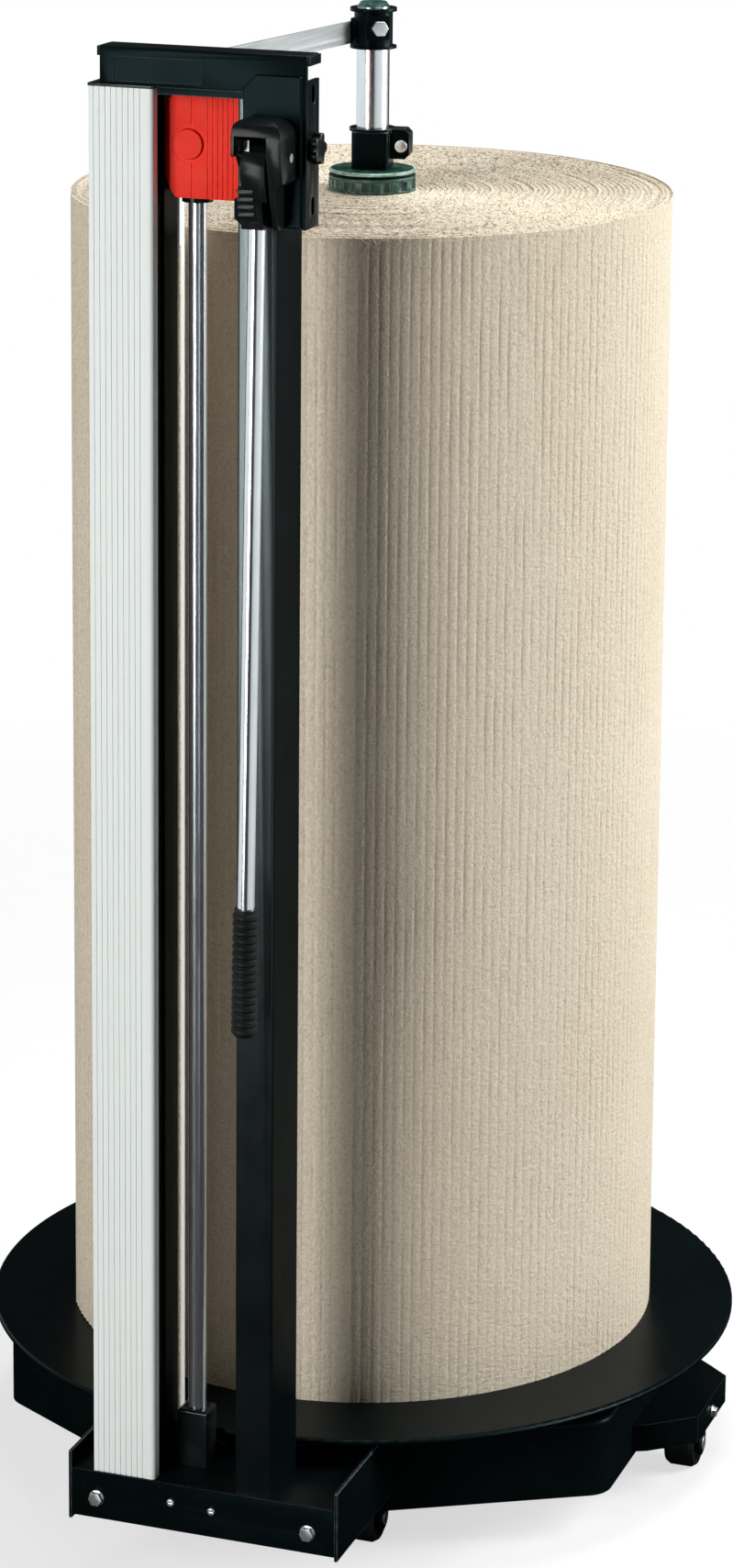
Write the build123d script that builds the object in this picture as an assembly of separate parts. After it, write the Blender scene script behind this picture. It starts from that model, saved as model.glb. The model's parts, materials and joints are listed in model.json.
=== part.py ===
from build123d import *
import math
import os

# Roll cutting stand. Lengths in mm. X runs to the right, Y away from the
# person who cuts, Z up. The turntable axis is x = 0, y = 0 while a piece is
# made, and every piece is moved by AXIS_Y at the end, so that the whole stand
# is centred on the origin.

# Base: pan, outriggers, front beam and wheels
SHEET = 3.0
PAN_BOTTOM, PAN_DEPTH, PAN_CORNER = 37.0, 68.0, 25.0
OUTRIGGER, OUT_DROP, OUT_DEPTH = 49.0, 37.5, 24.5
BEAM_HALF, BEAM_DROP, BEAM_DEPTH = 116.0, 5.0, 41.0
PLATE_OVER, PLATE_UNDER = 15.0, 4.0
WHEEL_R, WHEEL_W, AXLE_R = 22.0, 26.0, 4.0
CHEEK_GAP, CHEEK_T, CHEEK_HALF = 0.5, 3.0, 11.0
INNER_WHEEL_X, WHEEL_INSET = 88.0, 40.0

# Turntable, bearing and paper roll
DISC_R, DISC_T, DISC_OVER = 332.0, 6.0, 54.0
ROLL_R, ROLL_LENGTH, CORE_R = 258.0, 1000.0, 33.0
STEP_COUNT, STEP_WIDE, STEP_DEEP = 4, 4.6, 2.2
SPINDLE_R, RUN = 10.0, 0.05
RACE_T, RACE_OUT = 3.0, 104.0
BALL_R, BALL_CLEAR, BALL_COUNT, BALL_RING = 3.7, 0.3, 8, 90.0
CAGE_T, CAGE_HALF = 2.8, 8.0

# Cutting rail, its backing and the sheet that leaves the roll
RAIL_X1, RAIL_WIDE, RAIL_DEEP = -42.5, 54.0, 10.0
CHANNEL_DEEP, CHANNEL_INSET, CHANNEL_WALL = 22.0, 5.5, 2.5
BAR_INSET, BAR_T, WEB_T, WEB_OUT = 3.0, 10.0, 3.0, 2.0
PAD_T, CLAMP_T, BRIDGE_T = 3.0, 11.0, 10.0
HEADROOM, CAP_T, HEAD_TALL = 133.0, 2.5, 30.0

# Guide tube and carriage
TUBE_R, TUBE_WALL, TUBE_OFF, FOOT_TALL = 7.5, 1.5, 18.5, 49.0
CAR_TALL, CAR_FORE, CAR_AFT = 83.0, 25.5, 23.0
BUTTON_R, BUTTON_DROP, BUTTON_X = 12.0, 40.3, -21.8

# Column, head and lever
COL_WIDE, COL_DEEP, COL_GAP, COL_WALL, CAR_GAP = 32.0, 60.0, 1.0, 2.5, 6.0
CAR_WIDE = 66.6
HEAD_OVER, PLATE_T, COVER_T = 26.0, 6.0, 2.5
LEVER_R, LEVER_WALL, GRIP_R, LEAN = 7.0, 1.5, 10.5, 2.05
CRANK, PIN_R, ROD_R = 7.0, 3.5, 3.0
TUBE_TOP, GRIP_TOP, GRIP_LOW = 24.0, 598.0, 702.5

# Arm, post and presser
DROOP, ARM_T, ARM_H, HINGE_R = 2.2, 4.0, 18.5, 4.0
POST_R, COLLAR_R, RIM_R, PRESS_R = 14.0, 16.5, 20.0, 37.5
CLAMP_OFF, CLAMP_TALL, PRESS_TALL = 18.0, 35.0, 12.0

# Heights that follow from the sizes above
PAN_TOP = PAN_BOTTOM + PAN_DEPTH
BEAM_TOP = PAN_TOP - BEAM_DROP
BEAM_BOTTOM = BEAM_TOP - BEAM_DEPTH
OUT_TOP = PAN_TOP - OUT_DROP
OUT_BOTTOM = OUT_TOP - OUT_DEPTH
RACE_GAP = 2 * (BALL_R + BALL_CLEAR)
BALL_Z = PAN_TOP + RACE_T + RACE_GAP / 2
DISC_BOTTOM = PAN_TOP + 2 * RACE_T + RACE_GAP
DISC_TOP = DISC_BOTTOM + DISC_T
ROLL_TOP = DISC_TOP + ROLL_LENGTH
RAIL_TOP = ROLL_TOP + HEADROOM
CAP_TOP = RAIL_TOP + CAP_T
HEAD_TOP = CAP_TOP + HEAD_TALL
PLATE_Z0 = RAIL_TOP - 4
PLATE_Z1 = PLATE_Z0 + PLATE_T
CAR_Z1 = PLATE_Z0 - 1
CAR_Z0 = CAR_Z1 - CAR_TALL
BUTTON_Z = CAR_Z1 - BUTTON_DROP
FOOT_TOP = BEAM_TOP + FOOT_TALL
LEVER_Z = PLATE_Z0 - 41
ROD_Z = LEVER_Z + CRANK
LOW_ROD_Z = LEVER_Z - 34
YOKE_Z = LEVER_Z + PIN_R + 0.3
COVER_Z0 = LEVER_Z - 57
COVER_Z1 = HEAD_TOP - 16
HINGE_Z = PLATE_Z1 + 13

# Places in plan, from the turntable's edge forwards and from the rail to the right
PAN_APOTHEM = DISC_R - DISC_OVER
COL_Y1 = -(DISC_R + COL_GAP)
COL_Y0 = COL_Y1 - COL_DEEP
BEAM_FRONT = COL_Y0 - SHEET
COVER_Y = BEAM_FRONT - COVER_T
RAIL_Y0 = BEAM_FRONT + 2
RAIL_Y1 = RAIL_Y0 + RAIL_DEEP
BAR_Y0 = RAIL_Y1 + CHANNEL_DEEP
BAR_Y1 = COL_Y1 - 2
PAD_Y = BAR_Y1 + WEB_T
CLAMP_Y = PAD_Y + PAD_T
BRIDGE_Y = CLAMP_Y + CLAMP_T
TUBE_Y = COL_Y1 - 12
CAR_Y0 = TUBE_Y - CAR_FORE
CAR_Y1 = TUBE_Y + CAR_AFT
STEP_Y = BAR_Y1 - 2.5
HINGE_Y = COL_Y1 - 29
LEVER_Y = COVER_Y - 10
RAIL_X0 = RAIL_X1 - RAIL_WIDE
BAR_X1 = RAIL_X1 - BAR_INSET
BAR_X0 = BAR_X1 - BAR_T
WEB_EDGE = BAR_X1 + WEB_OUT
TUBE_X = RAIL_X1 + TUBE_OFF
CAR_X0 = BAR_X1 + 0.9
CAR_X1 = CAR_X0 + CAR_WIDE
STEP_X = WEB_EDGE + 1.5
COL_X0 = CAR_X1 + CAR_GAP
COL_X1 = COL_X0 + COL_WIDE
HEAD_HALF = COL_X1 + HEAD_OVER
LEVER_X = COL_X0 + 23
ROD_X = LEVER_X - 8
HOUSE_X0, HOUSE_X1 = LEVER_X - 13.5, LEVER_X + 27.5
COVER_X0, COVER_X1 = LEVER_X - 16.8, HEAD_HALF - SHEET - 0.4
ARM_REACH = PAN_APOTHEM + OUTRIGGER
SIDE_WHEEL_X = PAN_APOTHEM + OUTRIGGER / 2
INNER_WHEEL_Y = PAN_APOTHEM - WHEEL_INSET
ARM_X0 = -(COLLAR_R + ARM_T)
END_Z = HINGE_Z + HINGE_Y * math.tan(math.radians(DROOP))
COLLAR_Z0, COLLAR_Z1 = END_Z - 12.6, END_Z + 22
LOCK_Z, LOCK_TURN = END_Z + 6, 34.0
CLAMP_Z0 = ROLL_TOP + CLAMP_OFF
CLAMP_Z1 = CLAMP_Z0 + CLAMP_TALL


def span(x0, x1, y0, y1, z0, z1):
    """A block between two opposite corners."""
    place = Pos((x0 + x1) / 2, (y0 + y1) / 2, (z0 + z1) / 2)
    return place * Box(x1 - x0, y1 - y0, z1 - z0)


def rod(axis, a, b, r, lo, hi):
    """A cylinder along x, y or z. a and b are its other two coordinates."""
    body = Cylinder(r, hi - lo, align=(Align.CENTER, Align.CENTER, Align.MIN))
    if axis == "x":
        return Pos(lo, a, b) * Rot(0, 90, 0) * body
    if axis == "y":
        return Pos(a, lo, b) * Rot(-90, 0, 0) * body
    return Pos(a, b, lo) * body


def hexagon(axis, a, b, flats, lo, hi):
    """A hexagonal bar along x or y, measured across its flats."""
    outline = RegularPolygon(flats / 2, 6, major_radius=False)
    body = extrude(outline, hi - lo)
    if axis == "x":
        return Pos(lo, a, b) * Rot(0, 90, 0) * body
    return Pos(a, lo, b) * Rot(-90, 0, 0) * body


def slab_z(points, z0, z1):
    """An outline in X and Y, raised from z0 to z1."""
    return Pos(0, 0, z0) * extrude(make_face(Polyline(*points, close=True)), z1 - z0)


def slab_x(outline, x0, x1):
    """An outline in Y and Z, drawn out from x0 to x1."""
    return extrude(Plane(origin=(x0, 0, 0), x_dir=(0, 1, 0), z_dir=(1, 0, 0)) * outline, x1 - x0)


def slab_y(outline, y0, y1):
    """An outline in X and Z, drawn out from y0 to y1."""
    return extrude(Plane(origin=(0, y1, 0), x_dir=(1, 0, 0), z_dir=(0, -1, 0)) * outline, y1 - y0)


def turned(points, x=0.0, y=0.0):
    """A profile of radius and height, turned about a vertical line."""
    face = make_face(Polyline(*points, close=True))
    return Pos(x, y, 0) * revolve(Plane.XZ * face, Axis.Z)


def ring(r_in, r_out, z0, z1, x=0.0, y=0.0):
    return turned([(r_in, z0), (r_out, z0), (r_out, z1), (r_in, z1)], x, y)


def hexagon_prism(offset, z0, z1):
    """The pan's six-sided plan with rounded corners, moved out by offset."""
    plan = RegularPolygon(PAN_APOTHEM + offset, 6, major_radius=False, rotation=30)
    plan = fillet(plan.vertices(), PAN_CORNER + offset)
    return Pos(0, 0, z0) * extrude(plan, z1 - z0)


def mirrored(shape):
    return mirror(shape, about=Plane.YZ)


nodes = {}


# Base
def base_pan():
    tray = hexagon_prism(0, PAN_BOTTOM, PAN_TOP)
    tray = fillet(tray.edges().group_by(Axis.Z)[-1], 5)
    tray -= hexagon_prism(-SHEET, PAN_BOTTOM, PAN_TOP - SHEET)
    tray -= rod("z", 0, 0, SPINDLE_R + 4, PAN_TOP - SHEET, PAN_TOP)
    return tray


def outrigger():
    """The right-hand one, as a folded tray on the flat side of the pan."""
    reach = ARM_REACH
    plan = [(PAN_APOTHEM, -84), (reach - 37, -78), (reach - 18, -62), (reach, -46),
            (reach, 46), (reach - 18, 62), (reach - 37, 78), (PAN_APOTHEM, 84)]
    inner = [(PAN_APOTHEM + SHEET, -79), (reach - 38, -74.2), (reach - 19.5, -58.7), (reach - SHEET, -44),
             (reach - SHEET, 44), (reach - 19.5, 58.7), (reach - 38, 74.2), (PAN_APOTHEM + SHEET, 79)]
    tray = slab_z(plan, OUT_BOTTOM, OUT_TOP) - slab_z(inner, OUT_BOTTOM, OUT_TOP - SHEET)
    return tray - rod("x", 0, OUT_BOLT_Z, 3.02, reach - SHEET, reach)


OUT_BOLT_Z = OUT_BOTTOM + 10
WHEELS = {
    "wheel_right": (SIDE_WHEEL_X, 0, OUT_TOP - SHEET),
    "wheel_left": (-SIDE_WHEEL_X, 0, OUT_TOP - SHEET),
    "wheel_front_right": (INNER_WHEEL_X, -INNER_WHEEL_Y, PAN_TOP - SHEET),
    "wheel_front_left": (-INNER_WHEEL_X, -INNER_WHEEL_Y, PAN_TOP - SHEET),
    "wheel_rear_right": (INNER_WHEEL_X, INNER_WHEEL_Y, PAN_TOP - SHEET),
    "wheel_rear_left": (-INNER_WHEEL_X, INNER_WHEEL_Y, PAN_TOP - SHEET),
}


def fork(x, y, top):
    """A bent strip over one wheel, with round ends about the axle."""
    near = WHEEL_W / 2 + CHEEK_GAP
    far = near + CHEEK_T
    cheeks = span(-far, far, -CHEEK_HALF, CHEEK_HALF, WHEEL_R, top)
    cheeks += rod("x", 0, WHEEL_R, CHEEK_HALF, -far, far)
    cheeks -= span(-near, near, -CHEEK_HALF - 1, CHEEK_HALF + 1, 0, top - CHEEK_T)
    cheeks -= rod("x", 0, WHEEL_R, AXLE_R + 0.02, -far, far)
    return Pos(x, y, 0) * cheeks


def wheel(x, y):
    """A moulded wheel with a rounded tread and a dished hub on both sides."""
    half, dish = WHEEL_W / 2, 4.0
    bore = AXLE_R + RUN
    hub, rim, edge = AXLE_R + 5, WHEEL_R - 6.5, WHEEL_R - 2.5
    profile = [(bore, -half), (hub, -half), (hub, -half + dish), (rim, -half + dish),
               (rim, -half), (edge, -half), (WHEEL_R, -half + 4), (WHEEL_R, half - 4),
               (edge, half), (rim, half), (rim, half - dish), (hub, half - dish),
               (hub, half), (bore, half)]
    return Pos(x, y, WHEEL_R) * Rot(0, 90, 0) * turned(profile)


def axle(x, y):
    """A pin with a head on its outer end and a flat washer end inside."""
    reach = WHEEL_W / 2 + CHEEK_GAP + CHEEK_T
    pin = rod("x", 0, WHEEL_R, AXLE_R, -reach - 1, reach)
    pin += rod("x", 0, WHEEL_R, AXLE_R + 2, reach, reach + 1.6)
    pin += rod("x", 0, WHEEL_R, AXLE_R + 1.5, -reach - 1.2, -reach)
    return Pos(x, y, 0) * pin


# Where the pan's slanted side meets the beam's end, and a little further in
PAN_SIDE_Y = BEAM_HALF * math.tan(math.radians(30)) - PAN_APOTHEM / math.cos(math.radians(30))
BEAM_REAR = PAN_SIDE_Y + 9


def front_beam():
    outer = span(-BEAM_HALF, BEAM_HALF, BEAM_FRONT, BEAM_REAR, BEAM_BOTTOM, BEAM_TOP)
    inner = span(-BEAM_HALF + SHEET, BEAM_HALF - SHEET, BEAM_FRONT + SHEET, BEAM_REAR + 5,
                 BEAM_BOTTOM, BEAM_TOP - SHEET)
    outer -= hexagon_prism(0, BEAM_BOTTOM - 1, BEAM_TOP + 1)
    inner -= hexagon_prism(SHEET, BEAM_BOTTOM - 1, BEAM_TOP + 1)
    beam = outer - inner
    for x, z, flats, shank in BOLTS + SCREWS:
        beam -= rod("y", x, z, shank + 0.02, BEAM_FRONT, BEAM_FRONT + SHEET)
    return beam


# Fasteners on the beam's face: x, z, head size, shank radius
BOLT_X, BOLT_FLATS, BOLT_R = BEAM_HALF - 22.6, 10.5, 3.5
BOLT_Z = BEAM_BOTTOM + 18
BOLTS = [(-BOLT_X, BOLT_Z, BOLT_FLATS, BOLT_R), (BOLT_X, BOLT_Z, BOLT_FLATS, BOLT_R)]
SCREWS = [(-27.0, BOLT_Z + 7, 6.6, 2.0), (9.0, BOLT_Z + 5, 6.6, 2.0)]


def end_plate():
    return span(BEAM_HALF, BEAM_HALF + SHEET, BEAM_FRONT, PAN_SIDE_Y - 8,
                BEAM_BOTTOM - PLATE_UNDER, BEAM_TOP + PLATE_OVER)


def face_bolt(x, z, flats, shank):
    head = hexagon("y", x, z, flats, BEAM_FRONT - 5, BEAM_FRONT - 1)
    washer = rod("y", x, z, flats * 0.64, BEAM_FRONT - 1, BEAM_FRONT)
    return head + washer + rod("y", x, z, shank, BEAM_FRONT - 1, BEAM_FRONT + SHEET + 3)


def face_screw(x, z, size, shank):
    head = rod("y", x, z, size / 2, BEAM_FRONT - 2.6, BEAM_FRONT)
    head = fillet(head.edges().group_by(Axis.Y)[0], 1.2)
    head -= span(x - size / 3, x + size / 3, BEAM_FRONT - 3, BEAM_FRONT - 1.6, z - 0.5, z + 0.5)
    return head + rod("y", x, z, shank, BEAM_FRONT - 1, BEAM_FRONT + SHEET + 3)


def outrigger_bolt():
    head = hexagon("x", 0, OUT_BOLT_Z, 8.0, ARM_REACH + 1, ARM_REACH + 4.2)
    washer = rod("x", 0, OUT_BOLT_Z, 5.6, ARM_REACH, ARM_REACH + 1)
    return head + washer + rod("x", 0, OUT_BOLT_Z, 3, ARM_REACH - SHEET - 2, ARM_REACH + 1)


nodes["base_pan"] = base_pan()
nodes["outrigger_right"] = outrigger()
nodes["outrigger_left"] = mirrored(outrigger())
nodes["front_beam"] = front_beam()
nodes["end_plates"] = Compound(children=[end_plate(), mirrored(end_plate())])
side_bolts = [outrigger_bolt(), mirrored(outrigger_bolt())]
nodes["hex_bolts"] = Compound(children=[face_bolt(*b) for b in BOLTS] + side_bolts)
nodes["beam_screws"] = Compound(children=[face_screw(*s) for s in SCREWS])
nodes["wheel_forks"] = Compound(children=[fork(*w) for w in WHEELS.values()])
nodes["wheel_axles"] = Compound(children=[axle(x, y) for x, y, top in WHEELS.values()])
for name, (x, y, top) in WHEELS.items():
    nodes[name] = wheel(x, y)


# Turntable
def turntable_disc():
    edge = 2.5
    face = make_face(Polyline((0, DISC_BOTTOM), (DISC_R, DISC_BOTTOM), (DISC_R, DISC_TOP),
                              (0, DISC_TOP), close=True))
    corners = face.vertices().sort_by(Axis.X)[-2:]
    return revolve(Plane.XZ * fillet(corners, edge), Axis.Z)


BUSH_LOW, BUSH_WALL, RING_T = PAN_TOP - 16, 4.0, 2.2
RING_Z1 = BUSH_LOW - 0.3
RING_Z0 = RING_Z1 - RING_T


def spindle():
    """The upper race plate and its stub, with a groove for the ring."""
    groove, low = SPINDLE_R - 1, RING_Z0 - 4.5
    return turned([(0, DISC_BOTTOM), (0, low), (groove, low), (SPINDLE_R, low + 1),
                   (SPINDLE_R, RING_Z0), (groove, RING_Z0), (groove, RING_Z1),
                   (SPINDLE_R, RING_Z1), (SPINDLE_R, DISC_BOTTOM - RACE_T),
                   (RACE_OUT, DISC_BOTTOM - RACE_T), (RACE_OUT, DISC_BOTTOM)])


def spindle_bush():
    """The flanged bush in the pan. Its flange is the lower race."""
    bore, wall = SPINDLE_R + RUN, SPINDLE_R + BUSH_WALL
    top = PAN_TOP + RACE_T
    return turned([(bore, BUSH_LOW), (wall, BUSH_LOW), (wall, PAN_TOP),
                   (RACE_OUT, PAN_TOP), (RACE_OUT, top), (bore, top)])


def paper_roll():
    """The roll on its core, with a few of the wound layers standing lower than the rest."""
    roll = ring(CORE_R, ROLL_R, DISC_TOP, ROLL_TOP)
    for i in range(STEP_COUNT):
        r = ROLL_R - STEP_WIDE - i * (ROLL_R - CORE_R) / STEP_COUNT
        roll -= ring(r - STEP_WIDE, r, ROLL_TOP - STEP_DEEP, ROLL_TOP + 1)
    return roll


nodes["turntable_disc"] = turntable_disc()
nodes["paper_roll"] = paper_roll()
nodes["spindle"] = spindle()
nodes["spindle_ring"] = ring(SPINDLE_R - 1, SPINDLE_R + BUSH_WALL, RING_Z0, RING_Z1)
nodes["spindle_bush"] = spindle_bush()


def bearing_cage():
    cage = ring(BALL_RING - CAGE_HALF, BALL_RING + CAGE_HALF, BALL_Z - CAGE_T / 2, BALL_Z + CAGE_T / 2)
    for at in PolarLocations(BALL_RING, BALL_COUNT):
        cage -= at * Pos(0, 0, BALL_Z) * Cylinder(BALL_R + RUN, 3 * CAGE_T)
    return cage


balls = [at * Pos(0, 0, BALL_Z) * Sphere(BALL_R) for at in PolarLocations(BALL_RING, BALL_COUNT)]
nodes["bearing_cage"] = bearing_cage()
nodes["bearing_balls"] = Compound(children=balls)


# Cutting rail, its backing, the sheet and the clamp
GROOVE_COUNT = 9


def cutting_rail():
    """A hollow extruded profile with fine grooves down its front."""
    wall, corner, groove = 2.0, 3.5, 1.1
    xc, yc = (RAIL_X0 + RAIL_X1) / 2, (RAIL_Y0 + RAIL_Y1) / 2
    outline = Pos(xc, yc) * Rectangle(RAIL_WIDE, RAIL_DEEP)
    front_right = outline.vertices().sort_by(Axis.X)[-2:].sort_by(Axis.Y)[0]
    outline = fillet(front_right, corner)
    cell = (RAIL_WIDE - 4 * wall) / 3
    for i in range(3):
        x = RAIL_X0 + wall + cell / 2 + i * (cell + wall)
        outline -= Pos(x, yc + 0.4) * RectangleRounded(cell, RAIL_DEEP - 2 * wall - 0.8, 1.2)
    pitch = (RAIL_WIDE - 15) / (GROOVE_COUNT - 1)
    for i in range(GROOVE_COUNT):
        x = RAIL_X0 + 4.5 + i * pitch
        outline -= Pos(x, RAIL_Y0) * Rectangle(groove, 1.6)
    return Pos(0, 0, BEAM_TOP) * extrude(outline, RAIL_TOP - BEAM_TOP)


def rail_cap():
    cap = span(RAIL_X0 - 1, RAIL_X1 + 1, RAIL_Y0 - 1, BAR_Y0 + 1, RAIL_TOP, CAP_TOP)
    return fillet(cap.edges().filter_by(Axis.Z), 2)


def backing_bar():
    """The steel channel behind the rail, and the bar on its back that the sheet lies on."""
    x0, x1 = RAIL_X0 + 2, RAIL_X1 - CHANNEL_INSET
    wall = CHANNEL_WALL
    bar = span(x0, x1, RAIL_Y1, BAR_Y0, BEAM_TOP, RAIL_TOP)
    bar -= span(x0 + wall, x1 - wall, RAIL_Y1 + wall, BAR_Y0 - wall, BEAM_TOP, RAIL_TOP)
    return bar + span(BAR_X0, BAR_X1, BAR_Y0, BAR_Y1, BEAM_TOP, RAIL_TOP)


def paper_web():
    """The sheet that leaves the roll and lies flat on the backing bar."""
    gap = 0.3
    inner = ROLL_R + gap
    outer = inner + WEB_T
    start = (BAR_X0 - 1.5, PAD_Y)
    turn = math.atan2(start[1], start[0]) - math.acos(inner / math.hypot(*start))
    touch = (inner * math.cos(turn), inner * math.sin(turn))
    front_touch = (outer * math.cos(turn), outer * math.sin(turn))
    along = (BAR_Y1 - front_touch[1]) / (start[1] - touch[1])
    front_bend = (front_touch[0] + (start[0] - touch[0]) * along, BAR_Y1)
    wrap = turn - math.radians(10)
    mid = turn - math.radians(5)
    far_in = (inner * math.cos(wrap), inner * math.sin(wrap))
    far_out = (outer * math.cos(wrap), outer * math.sin(wrap))
    mid_in = (inner * math.cos(mid), inner * math.sin(mid))
    mid_out = (outer * math.cos(mid), outer * math.sin(mid))
    edges = [Line((WEB_EDGE, BAR_Y1), (WEB_EDGE, PAD_Y)), Line((WEB_EDGE, PAD_Y), start),
             Line(start, touch), ThreePointArc(touch, mid_in, far_in), Line(far_in, far_out),
             ThreePointArc(far_out, mid_out, front_touch), Line(front_touch, front_bend),
             Line(front_bend, (WEB_EDGE, BAR_Y1))]
    face = make_face(edges)
    return Pos(0, 0, DISC_TOP + 1) * extrude(face, ROLL_LENGTH - 1)


nodes["cutting_rail"] = cutting_rail()
nodes["rail_cap"] = rail_cap()
nodes["backing_bar"] = backing_bar()
nodes["paper_web"] = paper_web()


def clamp_profile(y0, y1, z0, z1):
    return span(BAR_X0 - 0.5, BAR_X1 - 0.5, y0, y1, z0, z1)


ROD_EDGE = 8.0
nodes["clamp_pad"] = clamp_profile(PAD_Y, CLAMP_Y, DISC_TOP + 6, ROLL_TOP - 3)
nodes["clamp_bar"] = clamp_profile(CLAMP_Y, BRIDGE_Y, DISC_TOP + 5, ROD_Z + ROD_EDGE)


def clamp_bridge():
    """A flat plate behind the carriage, with a tab down to the lower rod."""
    edge = ROD_EDGE
    points = [(BAR_X0 - 0.5, ROD_Z - edge), (ROD_X - 10, ROD_Z - edge), (ROD_X - 10, LOW_ROD_Z - edge),
              (ROD_X + 10, LOW_ROD_Z - edge), (ROD_X + 10, ROD_Z + edge), (BAR_X0 - 0.5, ROD_Z + edge)]
    plate = slab_y(make_face(Polyline(*points, close=True)), BRIDGE_Y, BRIDGE_Y + BRIDGE_T)
    for z in (ROD_Z, LOW_ROD_Z):
        plate -= rod("y", ROD_X, z, ROD_R, BRIDGE_Y, BRIDGE_Y + BRIDGE_T)
    return plate


def clamp_rods():
    """The push rod with its yoke on the crank pin, and the lower guide rod."""
    upper = rod("y", ROD_X, ROD_Z, ROD_R, LEVER_Y + 4, BRIDGE_Y + BRIDGE_T)
    yoke = span(ROD_X - 2.5, ROD_X + 2.5, LEVER_Y - 5.2, LEVER_Y + 5.2, YOKE_Z, ROD_Z + 5.5)
    yoke -= span(ROD_X - 3, ROD_X + 3, LEVER_Y - 3.2, LEVER_Y + 3.2, YOKE_Z, ROD_Z + 2.6)
    lower = rod("y", ROD_X, LOW_ROD_Z, ROD_R, COL_Y0 + 3, BRIDGE_Y + BRIDGE_T)
    return Compound(children=[upper + yoke, lower])


nodes["clamp_bridge"] = clamp_bridge()
nodes["clamp_rods"] = clamp_rods()


# Guide tube and carriage
TUBE_SEAT = 40.0


def tube_foot():
    foot = span(TUBE_X - 13, TUBE_X + 13, TUBE_Y - 13, TUBE_Y + 10.5, BEAM_TOP, FOOT_TOP)
    foot = chamfer(foot.edges().group_by(Axis.Z)[-1], 2)
    return foot - rod("z", TUBE_X, TUBE_Y, TUBE_R, FOOT_TOP - TUBE_SEAT, FOOT_TOP)


nodes["tube_foot"] = tube_foot()
nodes["guide_tube"] = ring(TUBE_R - TUBE_WALL, TUBE_R, FOOT_TOP - TUBE_SEAT, PLATE_Z1 - 2, TUBE_X, TUBE_Y)


def carriage_plan(inset):
    """The carriage seen from above. Its left rear corner clears the sheet's edge."""
    i = inset
    return [(CAR_X0 + i, CAR_Y0 + 7.2 - i * 0.4), (CAR_X0 + 7.2 + i * 0.4, CAR_Y0 + i),
            (CAR_X1 - 2 - i * 0.4, CAR_Y0 + i), (CAR_X1 - i, CAR_Y0 + 2 + i * 0.4),
            (CAR_X1 - i, CAR_Y1 - 4 - i * 0.4), (CAR_X1 - 4 - i * 0.4, CAR_Y1 - i),
            (STEP_X + i, CAR_Y1 - i), (STEP_X + i, STEP_Y - i), (CAR_X0 + i, STEP_Y - i)]


def carriage_body():
    body = slab_z(carriage_plan(0), CAR_Z0, CAR_Z1)
    for z, up, across, along in ((CAR_Z0, 1, 12, 17), (CAR_Z1, -1, 12, 11)):
        corner = [(CAR_X0 - 1, z - up), (CAR_X0 + across, z - up), (CAR_X0 + across, z),
                  (CAR_X0, z + up * along), (CAR_X0 - 1, z + up * along)]
        body -= slab_y(make_face(Polyline(*corner, close=True)), CAR_Y0 - 1, STEP_Y)
    body -= slab_z(carriage_plan(2.6), CAR_Z0 + BUSH_LONG, CAR_Z1 - BUSH_LONG)
    return body


BUSH_R, BUSH_LONG = TUBE_R + 3.5, 12.0
BLADE_T, HOLD_T, RIB_COUNT = 0.6, 3.0, 6
BLADE_X0 = WEB_EDGE + 0.6
BLADE_X1 = BLADE_X0 + BLADE_T
HOLD_X0 = BLADE_X1 + 1.3
HOLD_X1 = HOLD_X0 + HOLD_T


def blade_way():
    """The room that the blade and its holder slide in."""
    return span(BLADE_X0 - 0.5, HOLD_X1 + 0.5, CAR_Y0 + 8, STEP_Y + 0.1, BUTTON_Z - 14, BUTTON_Z + 14)


def carriage_front():
    body = carriage_body()
    body &= span(CAR_X0 - 1, CAR_X1 + 1, CAR_Y0 - 1, TUBE_Y, CAR_Z0 - 1, CAR_Z1 + 1)
    body -= rod("z", TUBE_X, TUBE_Y, BUSH_R, CAR_Z0 - 1, CAR_Z1 + 1)
    body -= rod("y", BUTTON_X, BUTTON_Z, BUTTON_R + 0.4, CAR_Y0 - 1, CAR_Y0 + 3)
    body -= rod("y", BUTTON_X, BUTTON_Z, BUTTON_R + 2.6, CAR_Y0, CAR_Y0 + 0.8)
    body -= blade_way()
    seam = BUTTON_X + 2.2
    body -= span(seam, seam + 0.8, CAR_Y0, CAR_Y0 + 0.8, CAR_Z0, BUTTON_Z - BUTTON_R)
    body -= span(seam, seam + 0.8, CAR_Y0, CAR_Y0 + 0.8, BUTTON_Z + BUTTON_R, CAR_Z1)
    pitch = 4.3
    for i in range(RIB_COUNT):
        x = CAR_X1 - 28 + i * pitch
        body -= span(x, x + 1.3, CAR_Y0, CAR_Y0 + 0.9, CAR_Z0, CAR_Z1)
    return body


def carriage_rear():
    body = carriage_body()
    body &= span(CAR_X0 - 1, CAR_X1 + 1, TUBE_Y, CAR_Y1 + 1, CAR_Z0 - 1, CAR_Z1 + 1)
    body -= rod("z", TUBE_X, TUBE_Y, BUSH_R, CAR_Z0 - 1, CAR_Z1 + 1)
    return body - blade_way()


def carriage_bushes():
    bore = TUBE_R + RUN
    low = ring(bore, BUSH_R, CAR_Z0, CAR_Z0 + BUSH_LONG, TUBE_X, TUBE_Y)
    low += ring(bore, BUSH_R + 1.5, CAR_Z0 - 6, CAR_Z0, TUBE_X, TUBE_Y)
    high = ring(bore, BUSH_R, CAR_Z1 - BUSH_LONG, CAR_Z1, TUBE_X, TUBE_Y)
    return Compound(children=[low, high])


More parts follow.
